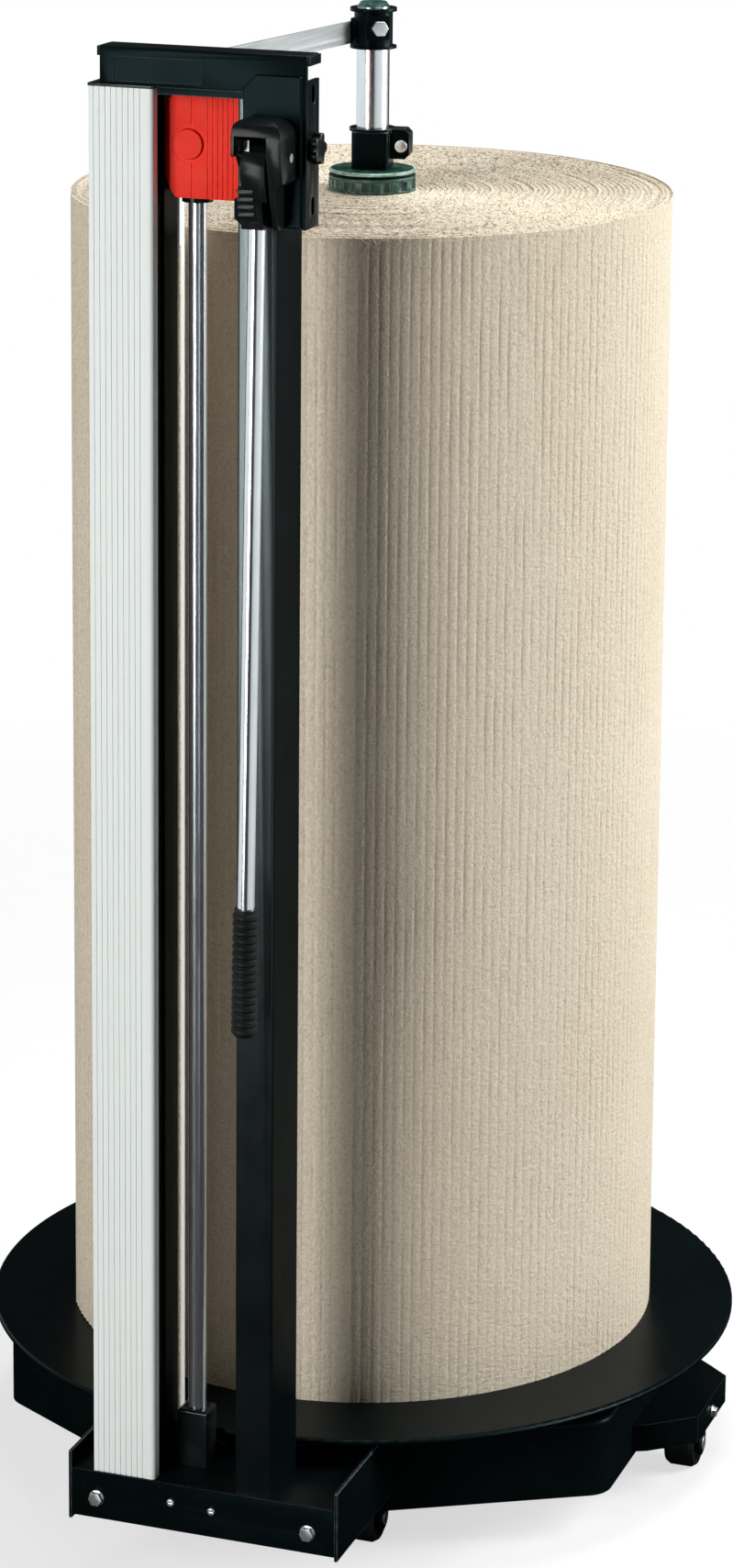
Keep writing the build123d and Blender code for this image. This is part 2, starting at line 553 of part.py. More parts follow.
def blade_button():
    cap = rod("y", BUTTON_X, BUTTON_Z, BUTTON_R, CAR_Y0 - 1.8, CAR_Y0 + 4)
    cap = fillet(cap.edges().group_by(Axis.Y)[0], 0.8)
    return cap + rod("y", BUTTON_X, BUTTON_Z, BUTTON_R + 1.2, CAR_Y0 + 2.6, CAR_Y0 + 5)


def blade_holder():
    """A cranked strip that joins the button to the blade, left of the tube."""
    bridge = span(HOLD_X0 + 1.6, BUTTON_X, CAR_Y0 + 5, CAR_Y0 + 9, BUTTON_Z - 9, BUTTON_Z + 9)
    side = span(HOLD_X0, HOLD_X1, CAR_Y0 + 8.1, STEP_Y - 6, BUTTON_Z - 9, BUTTON_Z + 9)
    seat = span(BLADE_X1, HOLD_X0, STEP_Y - 19.5, STEP_Y - 6, BUTTON_Z - 8, BUTTON_Z + 8)
    return bridge + side + seat


def cutter_blade():
    """A thin blade whose slanted lower edge does the cutting."""
    points = [(STEP_Y - 18, BUTTON_Z + 8), (STEP_Y - 18, BUTTON_Z - 7), (STEP_Y - 2, BUTTON_Z - 7),
              (STEP_Y + 1.8, BUTTON_Z + 1), (STEP_Y + 1.8, BUTTON_Z + 8)]
    return slab_x(make_face(Polyline(*points, close=True)), BLADE_X0, BLADE_X1)


nodes["carriage_front"] = carriage_front()
nodes["carriage_rear"] = carriage_rear()
nodes["carriage_bushes"] = carriage_bushes()
nodes["blade_button"] = blade_button()
nodes["blade_holder"] = blade_holder()
nodes["cutter_blade"] = cutter_blade()


# Column and head
def column():
    tall = span(COL_X0, COL_X1, COL_Y0, COL_Y1, BEAM_TOP, PLATE_Z0)
    tall = fillet(tall.edges().filter_by(Axis.Z), 2.5)
    tall -= span(COL_X0 + COL_WALL, COL_X1 - COL_WALL, COL_Y0 + COL_WALL, COL_Y1 - COL_WALL,
                 BEAM_TOP, PLATE_Z0)
    return tall - rod_ways()


def rod_ways():
    """The two guide bores through the column and the plates."""
    ways = rod("y", ROD_X, ROD_Z, ROD_R + RUN, BEAM_FRONT - 5, COL_Y1 + 1)
    return ways + rod("y", ROD_X, LOW_ROD_Z, ROD_R + RUN, COL_Y0 - 1, COL_Y1 + 1)


LIP_T, LIP_TALL, FLANGE_DEEP = 2.5, 8.0, 25.0


def head_bracket():
    """One folded sheet: the strip over the rail, its top flange and the main plate."""
    x1, tab = HEAD_HALF - SHEET, COVER_X0 - 0.6
    front = [(-HEAD_HALF, CAP_TOP), (tab, CAP_TOP), (tab, COVER_Z0 + 21), (tab - 7, COVER_Z0 + 21),
             (tab - 7, COVER_Z0 + 5), (tab, COVER_Z0 - 1), (x1, COVER_Z0 - 1), (x1, FLANGE_Z1),
             (HEAD_HALF, FLANGE_Z1), (HEAD_HALF, HEAD_TOP), (-HEAD_HALF, HEAD_TOP)]
    sheet = slab_y(make_face(Polyline(*front, close=True)), BEAM_FRONT, COL_Y0)
    sheet += span(-HEAD_HALF, HEAD_HALF, COL_Y0, BEAM_FRONT + FLANGE_DEEP, HEAD_TOP - SHEET, HEAD_TOP)
    fold = sheet.edges().filter_by(Axis.X).group_by(Axis.Z)[-1].sort_by(Axis.Y)[0]
    sheet = fillet(fold, 3.4)
    lip = span(HEAD_HALF, HEAD_HALF + LIP_T, BEAM_FRONT + 0.6, BEAM_FRONT + FLANGE_DEEP,
               HEAD_TOP - LIP_TALL, HEAD_TOP - 0.6)
    sheet = sheet + lip + mirrored(lip)
    sheet -= span(-HEAD_HALF + 11, -1, BEAM_FRONT, BEAM_FRONT + 0.8, CAP_TOP + 3, HEAD_TOP - 8)
    return sheet - rod("y", ROD_X, ROD_Z, ROD_R + RUN, COVER_Y - 3, COL_Y1 + 1)


def cover_plate():
    """The raised plate in front of the column, with a sloped upper corner and a window for the yoke."""
    front = [(COVER_X0, COVER_Z0), (COVER_X1, COVER_Z0), (COVER_X1, COVER_Z1),
             (COVER_X0 + 10.8, COVER_Z1), (COVER_X0, COVER_Z1 - 11)]
    plate = slab_y(make_face(Polyline(*front, close=True)), COVER_Y, BEAM_FRONT)
    plate = fillet(plate.edges().group_by(Axis.Y)[0], 1.5)
    return plate - span(ROD_X - 3.1, ROD_X + 3.1, COVER_Y, BEAM_FRONT, YOKE_Z - 0.6, ROD_Z + 6.1)


KNOB_Y, KNOB_Z = COL_Y0 + 12, LEVER_Z + 4
FLANGE_Z1 = HEAD_TOP - 20


def side_flange():
    x0, x1, low = HEAD_HALF - SHEET, HEAD_HALF, COVER_Z0 - 1
    plate = span(x0, x1, BEAM_FRONT, BEAM_FRONT + 28, low, FLANGE_Z1)
    for z in (low + 17, FLANGE_Z1 - 11):
        slot = Plane(origin=(x0, KNOB_Y, z), x_dir=(0, 0, 1), z_dir=(1, 0, 0)) * SlotOverall(15, 7)
        plate -= extrude(slot, SHEET)
    return plate - rod("x", KNOB_Y, KNOB_Z, KNOB_R + RUN, x0, x1)


KNOB_R, CHEEK_PLATE, HINGE_GAP, LOBE_COUNT = 4.0, 5.0, 0.15, 5


def head_plate():
    """The plate on the column's top, with the tube's seat and two cheeks for the arm."""
    plate = span(TUBE_X - 16, COL_X1, COL_Y0, COL_Y1 + 3, PLATE_Z0, PLATE_Z1)
    plate -= rod("z", TUBE_X, TUBE_Y, TUBE_R, PLATE_Z0, PLATE_Z1 - 2)
    outline = make_face(Polyline((HINGE_Y - 8, PLATE_Z1), (HINGE_Y + 20, PLATE_Z1),
                                 (HINGE_Y + 7, HINGE_Z + 7), (HINGE_Y - 6, HINGE_Z + 7),
                                 close=True))
    inner, outer = HINGE_GAP, HINGE_GAP + CHEEK_PLATE
    plate += slab_x(outline, ARM_X0 - outer, ARM_X0 - inner)
    plate += slab_x(outline, ARM_X0 + ARM_T + inner, ARM_X0 + ARM_T + outer)
    return plate - rod("x", HINGE_Y, HINGE_Z, HINGE_R + 0.02, ARM_X0 - 20, ARM_X0 + 20)


def arm_pin():
    x0 = ARM_X0 - HINGE_GAP - CHEEK_PLATE
    x1 = ARM_X0 + ARM_T + HINGE_GAP + CHEEK_PLATE
    head = HINGE_R + 2
    pin = rod("x", HINGE_Y, HINGE_Z, HINGE_R, x0, x1)
    pin += rod("x", HINGE_Y, HINGE_Z, head, x1, x1 + 2)
    return pin + rod("x", HINGE_Y, HINGE_Z, head, x0 - 2, x0)


nodes["column"] = column()
nodes["head_bracket"] = head_bracket() + side_flange()
nodes["cover_plate"] = cover_plate()
nodes["head_plate"] = head_plate()
nodes["arm_pin"] = arm_pin()


# Lever
def lean(shape):
    """From hanging straight down to the lever's resting lean."""
    turn = Pos(0, LEVER_Y, LEVER_Z) * Rot(-LEAN, 0, 0) * Pos(0, -LEVER_Y, -LEVER_Z)
    return turn * shape


HOUSE_TOP, HOUSE_LOW, HOUSE_FRONT = LEVER_Z + 30, LEVER_Z - 56, LEVER_Y - 23.5
MOUTH_X0, MOUTH_X1, MOUTH_R = LEVER_X - 11, LEVER_X + 15.5, 20.0
# Seen from the side: what is cut from the left wall, and what is kept of the whole
LUG = [(-30, -60), (12, -60), (12, -12), (7, -8), (-7, -8), (-14, 2), (-30, 2)]
HOUSE_SIDE = [(12, -60), (-6, -60), (-16, -30), (-21, -8), (-23.5, 4), (-23.5, 18), (-20.5, 26), (-13, 31), (12, 31)]


def lever_housing():
    """A moulded arch over the pivot, open in front and below, with a short lug on its left."""
    shoulder, waist = LEVER_Z - 18, HOUSE_X1 - 8
    face = make_face(Polyline((HOUSE_X0, HOUSE_LOW), (HOUSE_X0, HOUSE_TOP), (HOUSE_X1, HOUSE_TOP),
                              (HOUSE_X1, shoulder), (waist, shoulder - 6), (waist, HOUSE_LOW), close=True))
    top = face.vertices().sort_by(Axis.Y)[-2:].sort_by(Axis.X)
    face = fillet(top[1], 14)
    left = face.vertices().sort_by(Axis.Y)[-2:].sort_by(Axis.X)[0]
    face = fillet(left, 7)
    outer = slab_y(face, HOUSE_FRONT, COVER_Y)
    outer -= span(MOUTH_X0, MOUTH_X1, HOUSE_FRONT, COVER_Y, HOUSE_LOW, LEVER_Z - 4)
    outer -= rod("x", LEVER_Y, LEVER_Z, MOUTH_R, MOUTH_X0, MOUTH_X1)
    outer -= span(MOUTH_X0, MOUTH_X1, HOUSE_FRONT, LEVER_Y, LEVER_Z - 7, LEVER_Z + 18)
    outer -= slab_x(from_pivot(LUG), HOUSE_X0, MOUTH_X0)
    outer &= slab_x(from_pivot(HOUSE_SIDE), HOUSE_X0, HOUSE_X1)
    outer -= rod("x", LEVER_Y, LEVER_Z, PIN_R + 0.02, HOUSE_X0, HOUSE_X1)
    return outer - rod("y", ROD_X, ROD_Z, ROD_R + 1, LEVER_Y, COVER_Y + 1)


def lever_pin():
    return rod("x", LEVER_Y, LEVER_Z, PIN_R, HOUSE_X0, HOUSE_X1)


HUB_X0, HUB_X1, HUB_R, NECK_LONG, NECK_HALF = LEVER_X - 4, LEVER_X + 12.5, 9.3, 56.0, 9.0
GRIP_RIBS = 16
KNUCKLE = [(8.8, -34), (8.8, -14), (-7, -9), (-7.5, 4), (-17, 5), (-22, -5), (-21.5, -14), (-15, -34)]
NECK = [(8.8, -NECK_LONG), (8.8, -22), (-18.5, -22), (-14.5, -36), (-11, 6 - NECK_LONG), (-10.3, -NECK_LONG)]


def from_pivot(points):
    """A closed outline in Y and Z, given from the lever's pivot."""
    return make_face(Polyline(*[(LEVER_Y + y, LEVER_Z + z) for y, z in points], close=True))


def lever_hub():
    """The moulded knuckle on the pivot, its ribbed neck and the crank pin."""
    hub = rod("x", LEVER_Y, LEVER_Z, HUB_R, HUB_X0, HUB_X1)
    hub += span(HUB_X0, HUB_X1, LEVER_Y - 9, LEVER_Y + 8.5, LEVER_Z - 34, LEVER_Z)
    knuckle = slab_x(from_pivot(KNUCKLE), LEVER_X - 6.5, LEVER_X + 13.5)
    knuckle = chamfer(knuckle.edges().filter_by(Axis.X).group_by(Axis.Y)[0], 2)
    hub += knuckle
    neck = slab_x(from_pivot(NECK), LEVER_X - NECK_HALF, LEVER_X + NECK_HALF)
    hub += neck
    for i in range(4):
        z = LEVER_Z - 26 - 6 * i
        y = LEVER_Y - 16.5 + 0.24 * (6 * i)
        hub += span(LEVER_X - NECK_HALF - 1.1, LEVER_X + 3, y - 2.2, y + 9, z - 1.4, z + 1.4)
    hub -= rod("x", LEVER_Y, LEVER_Z, PIN_R + RUN, HUB_X0, HUB_X1)
    hub -= rod("z", LEVER_X, LEVER_Y, LEVER_R, LEVER_Z - NECK_LONG - 2, LEVER_Z - TUBE_TOP)
    hub += rod("x", LEVER_Y, LEVER_Z + CRANK, 2.0, ROD_X - 2.5, HUB_X0 + 2)
    return lean(hub)


def lever_tube():
    low, high = LEVER_Z - GRIP_LOW + 12, LEVER_Z - TUBE_TOP
    return lean(ring(LEVER_R - LEVER_WALL, LEVER_R, low, high, LEVER_X, LEVER_Y))


def lever_grip():
    """A ribbed rubber sleeve with a closed end."""
    top, low = LEVER_Z - GRIP_TOP, LEVER_Z - GRIP_LOW
    points = [(0, low), (GRIP_R - 3, low), (GRIP_R - 0.5, low + 3)]
    pitch = (top - low - 5) / GRIP_RIBS
    for i in range(GRIP_RIBS):
        z = low + 3 + i * pitch
        points += [(GRIP_R - 0.5, z + 0.3), (GRIP_R, z + 1.0), (GRIP_R, z + pitch - 2.4),
                   (GRIP_R - 1.2, z + pitch - 1.4), (GRIP_R - 1.2, z + pitch - 0.6)]
    points += [(GRIP_R - 1.2, top), (LEVER_R, top), (LEVER_R, low + 12), (0, low + 12)]
    return lean(turned(points, LEVER_X, LEVER_Y))


nodes["lever_housing"] = lever_housing()
nodes["lever_pin"] = lever_pin()
nodes["lever_hub"] = lever_hub()
nodes["lever_tube"] = lever_tube()
nodes["lever_grip"] = lever_grip()


def star_knob():
    """The five-lobed locking knob on the side flange."""
    x0, x1 = HEAD_HALF + 0.1, HEAD_HALF + 7
    knob = rod("x", 0, 0, 9, x0, x1)
    for i in range(LOBE_COUNT):
        a = 2 * math.pi * i / LOBE_COUNT
        knob += rod("x", 8.5 * math.cos(a), 8.5 * math.sin(a), 4.2, x0, x1)
    knob += rod("x", 0, 0, KNOB_R, HEAD_HALF - SHEET - 5, x0 + 1)
    return Pos(0, KNOB_Y, KNOB_Z) * knob


nodes["lock_knob"] = star_knob()


# Arm, post and presser
def drooped(shape):
    turn = Pos(0, HINGE_Y, HINGE_Z) * Rot(-DROOP, 0, 0) * Pos(0, -HINGE_Y, -HINGE_Z)
    return turn * shape


def arm_bar():
    bar = span(ARM_X0, ARM_X0 + ARM_T, HINGE_Y, 6, HINGE_Z - ARM_H / 2, HINGE_Z + ARM_H / 2)
    bar += rod("x", HINGE_Y, HINGE_Z, ARM_H / 2, ARM_X0, ARM_X0 + ARM_T)
    bar -= rod("x", HINGE_Y, HINGE_Z, HINGE_R + RUN, ARM_X0, ARM_X0 + ARM_T)
    return drooped(bar) - rod("x", 0, END_Z, ARM_SCREW_R + 0.02, ARM_X0 - 18, 0)


def locked(shape):
    """From the front to the side that the collar's screw is on."""
    return Rot(0, 0, LOCK_TURN) * shape


def post_collar():
    """The sleeve that the post slides in, with two rims, a flat for the arm and one for the screw."""
    bore = POST_R + RUN
    sleeve = turned([(bore, COLLAR_Z0), (RIM_R, COLLAR_Z0), (RIM_R, COLLAR_Z0 + 2),
                     (COLLAR_R, COLLAR_Z0 + 2), (COLLAR_R, COLLAR_Z1 - 3),
                     (RIM_R, COLLAR_Z1 - 3), (RIM_R, COLLAR_Z1), (bore, COLLAR_Z1)])
    boss = span(ARM_X0 + ARM_T, 0, -12, 10, END_Z - 10, END_Z + 13)
    boss += locked(span(-9.5, 9.5, -COLLAR_R - 1.5, 0, LOCK_Z - 10, LOCK_Z + 10))
    boss -= rod("z", 0, 0, POST_R + 0.5, COLLAR_Z0, COLLAR_Z1)
    body = sleeve + boss - locked(rod("y", 0, LOCK_Z, LOCK_R + 0.02, -30, -10))
    return body - rod("x", 0, END_Z, ARM_SCREW_R + 0.02, ARM_X0 - 18, -14)


def arm_screw():
    head = hexagon("x", 0, END_Z, 12, ARM_X0 - 5, ARM_X0)
    return head + rod("x", 0, END_Z, ARM_SCREW_R, ARM_X0, -POST_R - 0.6)


def collar_screw():
    """The hex locking screw on the collar's front."""
    seat = -COLLAR_R - 1.5
    head = hexagon("y", 0, LOCK_Z, 12, seat - 7.4, seat - 0.4)
    return locked(head + rod("y", 0, LOCK_Z, LOCK_R - RUN, seat - 0.4, -POST_R - 0.3))


ARM_SCREW_R, LOCK_R = 3.0, 4.0
nodes["arm_bar"] = arm_bar()
nodes["post_collar"] = post_collar()
nodes["arm_screw"] = arm_screw()
nodes["collar_screw"] = collar_screw()

POST_WALL, POST_OUT, POST_SEAT = 2.0, 1.0, 4.0
POST_TOP = COLLAR_Z1 + POST_OUT
nodes["post_tube"] = ring(POST_R - POST_WALL, POST_R, CLAMP_Z0 + POST_SEAT, POST_TOP)
nodes["post_cap"] = turned([(0, POST_TOP - 9), (POST_R - POST_WALL, POST_TOP - 9),
                            (POST_R - POST_WALL, POST_TOP), (POST_R, POST_TOP),
                            (POST_R - 3, POST_TOP + 4), (0, POST_TOP + 4)])


BLOCK_HALF, BLOCK_TURN = 16.0, 9.5
EAR_X, EAR_HALF, EAR_SCREW_R, STUB_R = 26.5, 9.0, 3.0, 6.0
EAR_Z = CLAMP_Z0 + 20.5


def turned_block(shape):
    return Rot(0, 0, BLOCK_TURN) * shape


def post_clamp():
    """The split clamp at the post's foot: a square block, a round rim and an ear for its screw."""
    half = BLOCK_HALF
    block = span(-half, half, -half, half, CLAMP_Z0, CLAMP_Z1 - 3)
    block = fillet(block.edges().filter_by(Axis.Z), 3)
    block += rod("z", 0, 0, RIM_R, CLAMP_Z1 - 3, CLAMP_Z1)
    ear = span(10, EAR_X + 7, -EAR_HALF, EAR_HALF, CLAMP_Z0 + 9, CLAMP_Z1)
    block += chamfer(ear.edges().filter_by(Axis.Y).group_by(Axis.X)[-1], 4)
    block -= rod("z", 0, 0, POST_R, CLAMP_Z0 + POST_SEAT, CLAMP_Z1)
    block -= span(RIM_R, EAR_X + 8, -1, 1, CLAMP_Z0 + 8, CLAMP_Z1)
    block -= rod("z", 0, 0, STUB_R + RUN, CLAMP_Z0, CLAMP_Z0 + POST_SEAT + 1)
    return turned_block(block - rod("y", EAR_X, EAR_Z, EAR_SCREW_R, -EAR_HALF - 1, EAR_HALF + 1))


def clamp_screw():
    shank = rod("y", EAR_X, EAR_Z, EAR_SCREW_R, -EAR_HALF, EAR_HALF)
    return turned_block(shank + rod("y", EAR_X, EAR_Z, 5.2, -EAR_HALF - 3.5, -EAR_HALF))


nodes["post_clamp"] = post_clamp()
nodes["clamp_screw"] = clamp_screw()

PRESS_Z1 = ROLL_TOP + PRESS_TALL
NECK_R, PLUG_R, SCALLOP_COUNT = 12.0, 20.0, 14


def presser_hub():
    """A turned spindle: top flange, neck and the plug that enters the roll's core."""
    under, top = CLAMP_Z0 - 3.6, CLAMP_Z0 - 0.3
    return turned([(0, ROLL_TOP - 21), (PLUG_R - 6, ROLL_TOP - 21), (PLUG_R, ROLL_TOP - 13),
                   (PLUG_R, ROLL_TOP), (NECK_R, ROLL_TOP), (NECK_R, under),
                   (PRESS_R - 2, under), (PRESS_R, under + 1), (PRESS_R, under + 2),
                   (PRESS_R - 1, top), (STUB_R, top), (STUB_R, CLAMP_Z0 + POST_SEAT),
                   (0, CLAMP_Z0 + POST_SEAT)])


def presser_disc():
    """The foot disc with deep scallops round its edge and a groove above them."""
    disc = ring(NECK_R, PRESS_R, ROLL_TOP, PRESS_Z1)
    disc -= ring(PRESS_R - 2.5, PRESS_R + 1, PRESS_Z1 - 3, PRESS_Z1 - 1.6)
    bite = 6.2
    for i in range(SCALLOP_COUNT):
        a = 2 * math.pi * i / SCALLOP_COUNT
        r = PRESS_R + bite - 3.6
        disc -= rod("z", r * math.cos(a), r * math.sin(a), bite, ROLL_TOP + 1.2, PRESS_Z1 - 3)
    return disc


nodes["presser_hub"] = presser_hub()
nodes["presser_disc"] = presser_disc()


# Placing and writing
front = min(shape.bounding_box().min.Y for shape in nodes.values())
AXIS_Y = round((-front - DISC_R) / 2, 2)
os.makedirs("parts", exist_ok=True)
for name, shape in nodes.items():
    placed = Pos(0, AXIS_Y, 0) * shape
    export_step(placed, "parts/" + name + ".step")
print("nodes", len(nodes), "axis_y", AXIS_Y, "front", round(front, 3))
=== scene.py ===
import json
import math
import random

import bpy
from mathutils import Matrix, Vector


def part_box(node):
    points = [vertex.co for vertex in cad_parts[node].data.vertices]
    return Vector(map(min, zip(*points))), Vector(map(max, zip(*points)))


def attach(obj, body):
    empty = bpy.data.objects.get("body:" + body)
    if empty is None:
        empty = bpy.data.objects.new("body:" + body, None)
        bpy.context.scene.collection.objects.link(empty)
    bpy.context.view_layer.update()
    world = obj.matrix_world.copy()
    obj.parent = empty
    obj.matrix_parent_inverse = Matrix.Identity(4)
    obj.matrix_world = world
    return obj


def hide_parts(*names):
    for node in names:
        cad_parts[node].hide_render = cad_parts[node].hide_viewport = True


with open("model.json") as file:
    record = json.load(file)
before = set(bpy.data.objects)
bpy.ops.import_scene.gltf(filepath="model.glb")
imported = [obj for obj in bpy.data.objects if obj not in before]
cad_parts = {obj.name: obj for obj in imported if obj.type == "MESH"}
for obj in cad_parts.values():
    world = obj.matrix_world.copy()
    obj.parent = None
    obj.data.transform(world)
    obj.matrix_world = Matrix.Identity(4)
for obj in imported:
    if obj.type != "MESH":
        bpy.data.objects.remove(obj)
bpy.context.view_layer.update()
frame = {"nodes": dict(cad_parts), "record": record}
NODES = frame["nodes"]

# The turntable's axis in the row frame, and the roll, in metres
disc_lo, disc_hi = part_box("turntable_disc")
roll_lo, roll_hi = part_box("paper_roll")
AXIS_Y = (disc_lo[1] + disc_hi[1]) / 2
ROLL_R = (roll_hi[0] - roll_lo[0]) / 2
ROLL_Z0, ROLL_Z1 = roll_lo[2], roll_hi[2]
CORE_R = 0.033

# Corrugated board: distance between flutes, their height, and the sheet's thickness on the roll
FLUTE, FLUTE_TALL, WRAP = 0.0084, 0.0013, 0.0046

# Camera: its place from the turntable's axis in metres, its angles in degrees, its focal length
# in pixels of a picture of this height, and how far the picture is shifted down, as a share of it
IMAGE_H = 1709
CAM = dict(x=1.279, y=-3.621, z=1.736, yaw=19.51, pitch=11.23, roll=0.45, focal=4927.0, shift=0.27)
NEAREST, FARTHEST = 0.05, 60.0


def make_camera():
    """A camera at the photo's place, with the picture shifted as in the photo."""
    data = bpy.data.cameras.new("view_camera")
    cam = bpy.data.objects.new("view_camera", data)
    bpy.context.scene.collection.objects.link(cam)
    data.sensor_fit = "AUTO"
    data.sensor_width = 36.0
    data.lens = CAM["focal"] * data.sensor_width / IMAGE_H
    data.shift_y = -CAM["shift"]
    yaw, pitch, roll = (math.radians(CAM[k]) for k in ("yaw", "pitch", "roll"))
    flat = math.cos(pitch)
    forward = Vector((-math.sin(yaw) * flat, math.cos(yaw) * flat, -math.sin(pitch)))
    right = Vector((math.cos(yaw), math.sin(yaw), 0.0))
    up = right.cross(forward)
    side = right * math.cos(roll) + up * math.sin(roll)
    top = up * math.cos(roll) - right * math.sin(roll)
    turn = Matrix((side, top, -forward)).transposed()
    cam.matrix_world = Matrix.Translation((CAM["x"], CAM["y"] + AXIS_Y, CAM["z"])) @ turn.to_4x4()
    data.clip_start, data.clip_end = NEAREST, FARTHEST
    bpy.context.scene.camera = cam


make_camera()


# Materials. On a mix node, the sockets of the factor and the two colours, and of the result
MIX_SOCKETS, MIX_RESULT = (0, 6, 7), 2


def socket(node, name, value):
    node.inputs[name].default_value = value


def mix_colours(tree, fac, a, b, kind="MIX"):
    """A mix node's output. Fac, a and b are each a value, a colour or another node's output."""
    node = tree.nodes.new("ShaderNodeMix")
    node.data_type = "RGBA"
    node.blend_type = kind
    for index, value in zip(MIX_SOCKETS, (fac, a, b)):
        if isinstance(value, (int, float)):
            node.inputs[index].default_value = value
        elif isinstance(value, tuple):
            node.inputs[index].default_value = (*value, 1.0)
        else:
            tree.links.new(value, node.inputs[index])
    return node.outputs[MIX_RESULT]


def fill_ramp(node, stops):
    """Set the places and colours of a colour ramp's stops."""
    elements = node.color_ramp.elements
    while len(elements) < len(stops):
        elements.new(0.5)
    for element, (place, colour) in zip(elements, stops):
        element.position = place
        element.color = (*colour, 1.0)


class Shader:
    """A node material under construction, with short names for the nodes used most."""

    def __init__(self, name):
        self.mat = bpy.data.materials.new(name)
        self.mat.use_nodes = True
        self.tree = self.mat.node_tree
        self.bsdf = self.tree.nodes["Principled BSDF"]
        self.coords = self.tree.nodes.new("ShaderNodeTexCoord").outputs["Object"]

    def link(self, a, b):
        self.tree.links.new(a, b)

    def scaled(self, scale):
        node = self.tree.nodes.new("ShaderNodeMapping")
        socket(node, "Scale", scale)
        self.link(self.coords, node.inputs["Vector"])
        return node.outputs["Vector"]

    def noise(self, scale, detail=3.0, rough=0.55, vector=None):
        node = self.tree.nodes.new("ShaderNodeTexNoise")
        socket(node, "Scale", scale)
        socket(node, "Detail", detail)
        socket(node, "Roughness", rough)
        self.link(vector or self.coords, node.inputs["Vector"])
        return node.outputs["Fac"]

    def ramp(self, fac, *stops):
        node = self.tree.nodes.new("ShaderNodeValToRGB")
        fill_ramp(node, stops)
        self.link(fac, node.inputs["Fac"])
        return node.outputs["Color"]

    def level(self, fac, lo, hi, start=0.0, end=1.0):
        """Fac between start and end, turned into a value between lo and hi."""
        node = self.tree.nodes.new("ShaderNodeMapRange")
        socket(node, "From Min", start)
        socket(node, "From Max", end)
        socket(node, "To Min", lo)
        socket(node, "To Max", hi)
        self.link(fac, node.inputs["Value"])
        return node.outputs["Result"]

    def mix(self, fac, a, b, kind="MIX"):
        return mix_colours(self.tree, fac, a, b, kind)

    def bump(self, height, strength, distance, normal=None):
        node = self.tree.nodes.new("ShaderNodeBump")
        socket(node, "Strength", strength)
        socket(node, "Distance", distance)
        self.link(height, node.inputs["Height"])
        if normal:
            self.link(normal, node.inputs["Normal"])
        return node.outputs["Normal"]

    def colour(self, source):
        self.link(source, self.bsdf.inputs["Base Color"])

    def rough(self, source):
        self.link(source, self.bsdf.inputs["Roughness"])

    def normal(self, source):
        self.link(source, self.bsdf.inputs["Normal"])


# The normal's Y of a face that is turned to the user, and of one that is turned aside, for black
# paint's painted sheen
FACES_FRONT, FACES_ASIDE = -0.9, -0.5


def black_paint(name, front, side, tint=(0.50, 0.90, 0.94)):
    """Satin powder coat, near black, with a green-blue sheen and a few pale specks of dust.
    Front and side set a painted sheen by which way a face points, not by the lamps: how strongly
    faces towards the user, and all others, shine."""
    s = Shader(name)
    facing = s.tree.nodes.new("ShaderNodeSeparateXYZ")
    s.link(s.tree.nodes["Texture Coordinate"].outputs["Normal"], facing.inputs[0])
    # Painted sheen: the specular strength follows which way the face points
    painted_sheen = s.level(facing.outputs["Y"], front, side, FACES_FRONT, FACES_ASIDE)
    s.link(painted_sheen, s.bsdf.inputs["Specular IOR Level"])
    cloud = s.noise(9.0, 4.0)
    base = s.ramp(cloud, (0.3, (0.0014, 0.0030, 0.0034)), (0.7, (0.0028, 0.0056, 0.0062)))
    dust = s.ramp(s.noise(420.0, 2.0), (0.70, (0.0, 0.0, 0.0)), (0.78, (1.0, 1.0, 1.0)))
    s.colour(s.mix(dust, base, (0.018, 0.032, 0.034)))
    socket(s.bsdf, "Specular Tint", (*tint, 1.0))
    s.rough(s.level(s.noise(40.0, 3.0), 0.24, 0.38))
    s.normal(s.bump(s.noise(900.0, 2.0), 0.22, 0.0004))
    return s.mat


def worn_lit_edge(name, low, high, gloss, rough):
    """The rounded edges of a moulding or a folded sheet, lighter and glossier than its faces:
    partly rubbed, partly a painted highlight along the edge.
    """
    s = Shader(name)
    s.colour(s.ramp(s.noise(160.0, 3.0, 0.65), (0.35, low), (0.65, high)))
    socket(s.bsdf, "Specular IOR Level", gloss)
    s.rough(s.level(s.noise(600.0, 2.0), rough, rough + 0.15))
    return s.mat


def rail_aluminium():
    """Pale satin anodised profile, with faint draw lines along its length."""
    s = Shader("rail_anodised")
    draw = s.noise(1.0, 3.0, 0.6, s.scaled((1400.0, 1400.0, 5.0)))
    s.colour(s.ramp(draw, (0.3, (0.84, 0.89, 0.87)), (0.7, (0.90, 0.94, 0.92))))
    socket(s.bsdf, "Specular IOR Level", 0.3)
    s.rough(s.level(draw, 0.45, 0.60))
    s.normal(s.bump(draw, 0.12, 0.0002))
    return s.mat


def arm_aluminium():
    """Bare flat bar, drawn along its length."""
    s = Shader("arm_drawn_bar")
    draw = s.noise(1.0, 3.0, 0.6, s.scaled((900.0, 12.0, 900.0)))
    s.colour(s.ramp(draw, (0.3, (0.66, 0.70, 0.72)), (0.7, (0.82, 0.85, 0.86))))
    socket(s.bsdf, "Metallic", 0.75)
    s.rough(s.level(draw, 0.30, 0.45))
    s.normal(s.bump(draw, 0.18, 0.0003))
    return s.mat


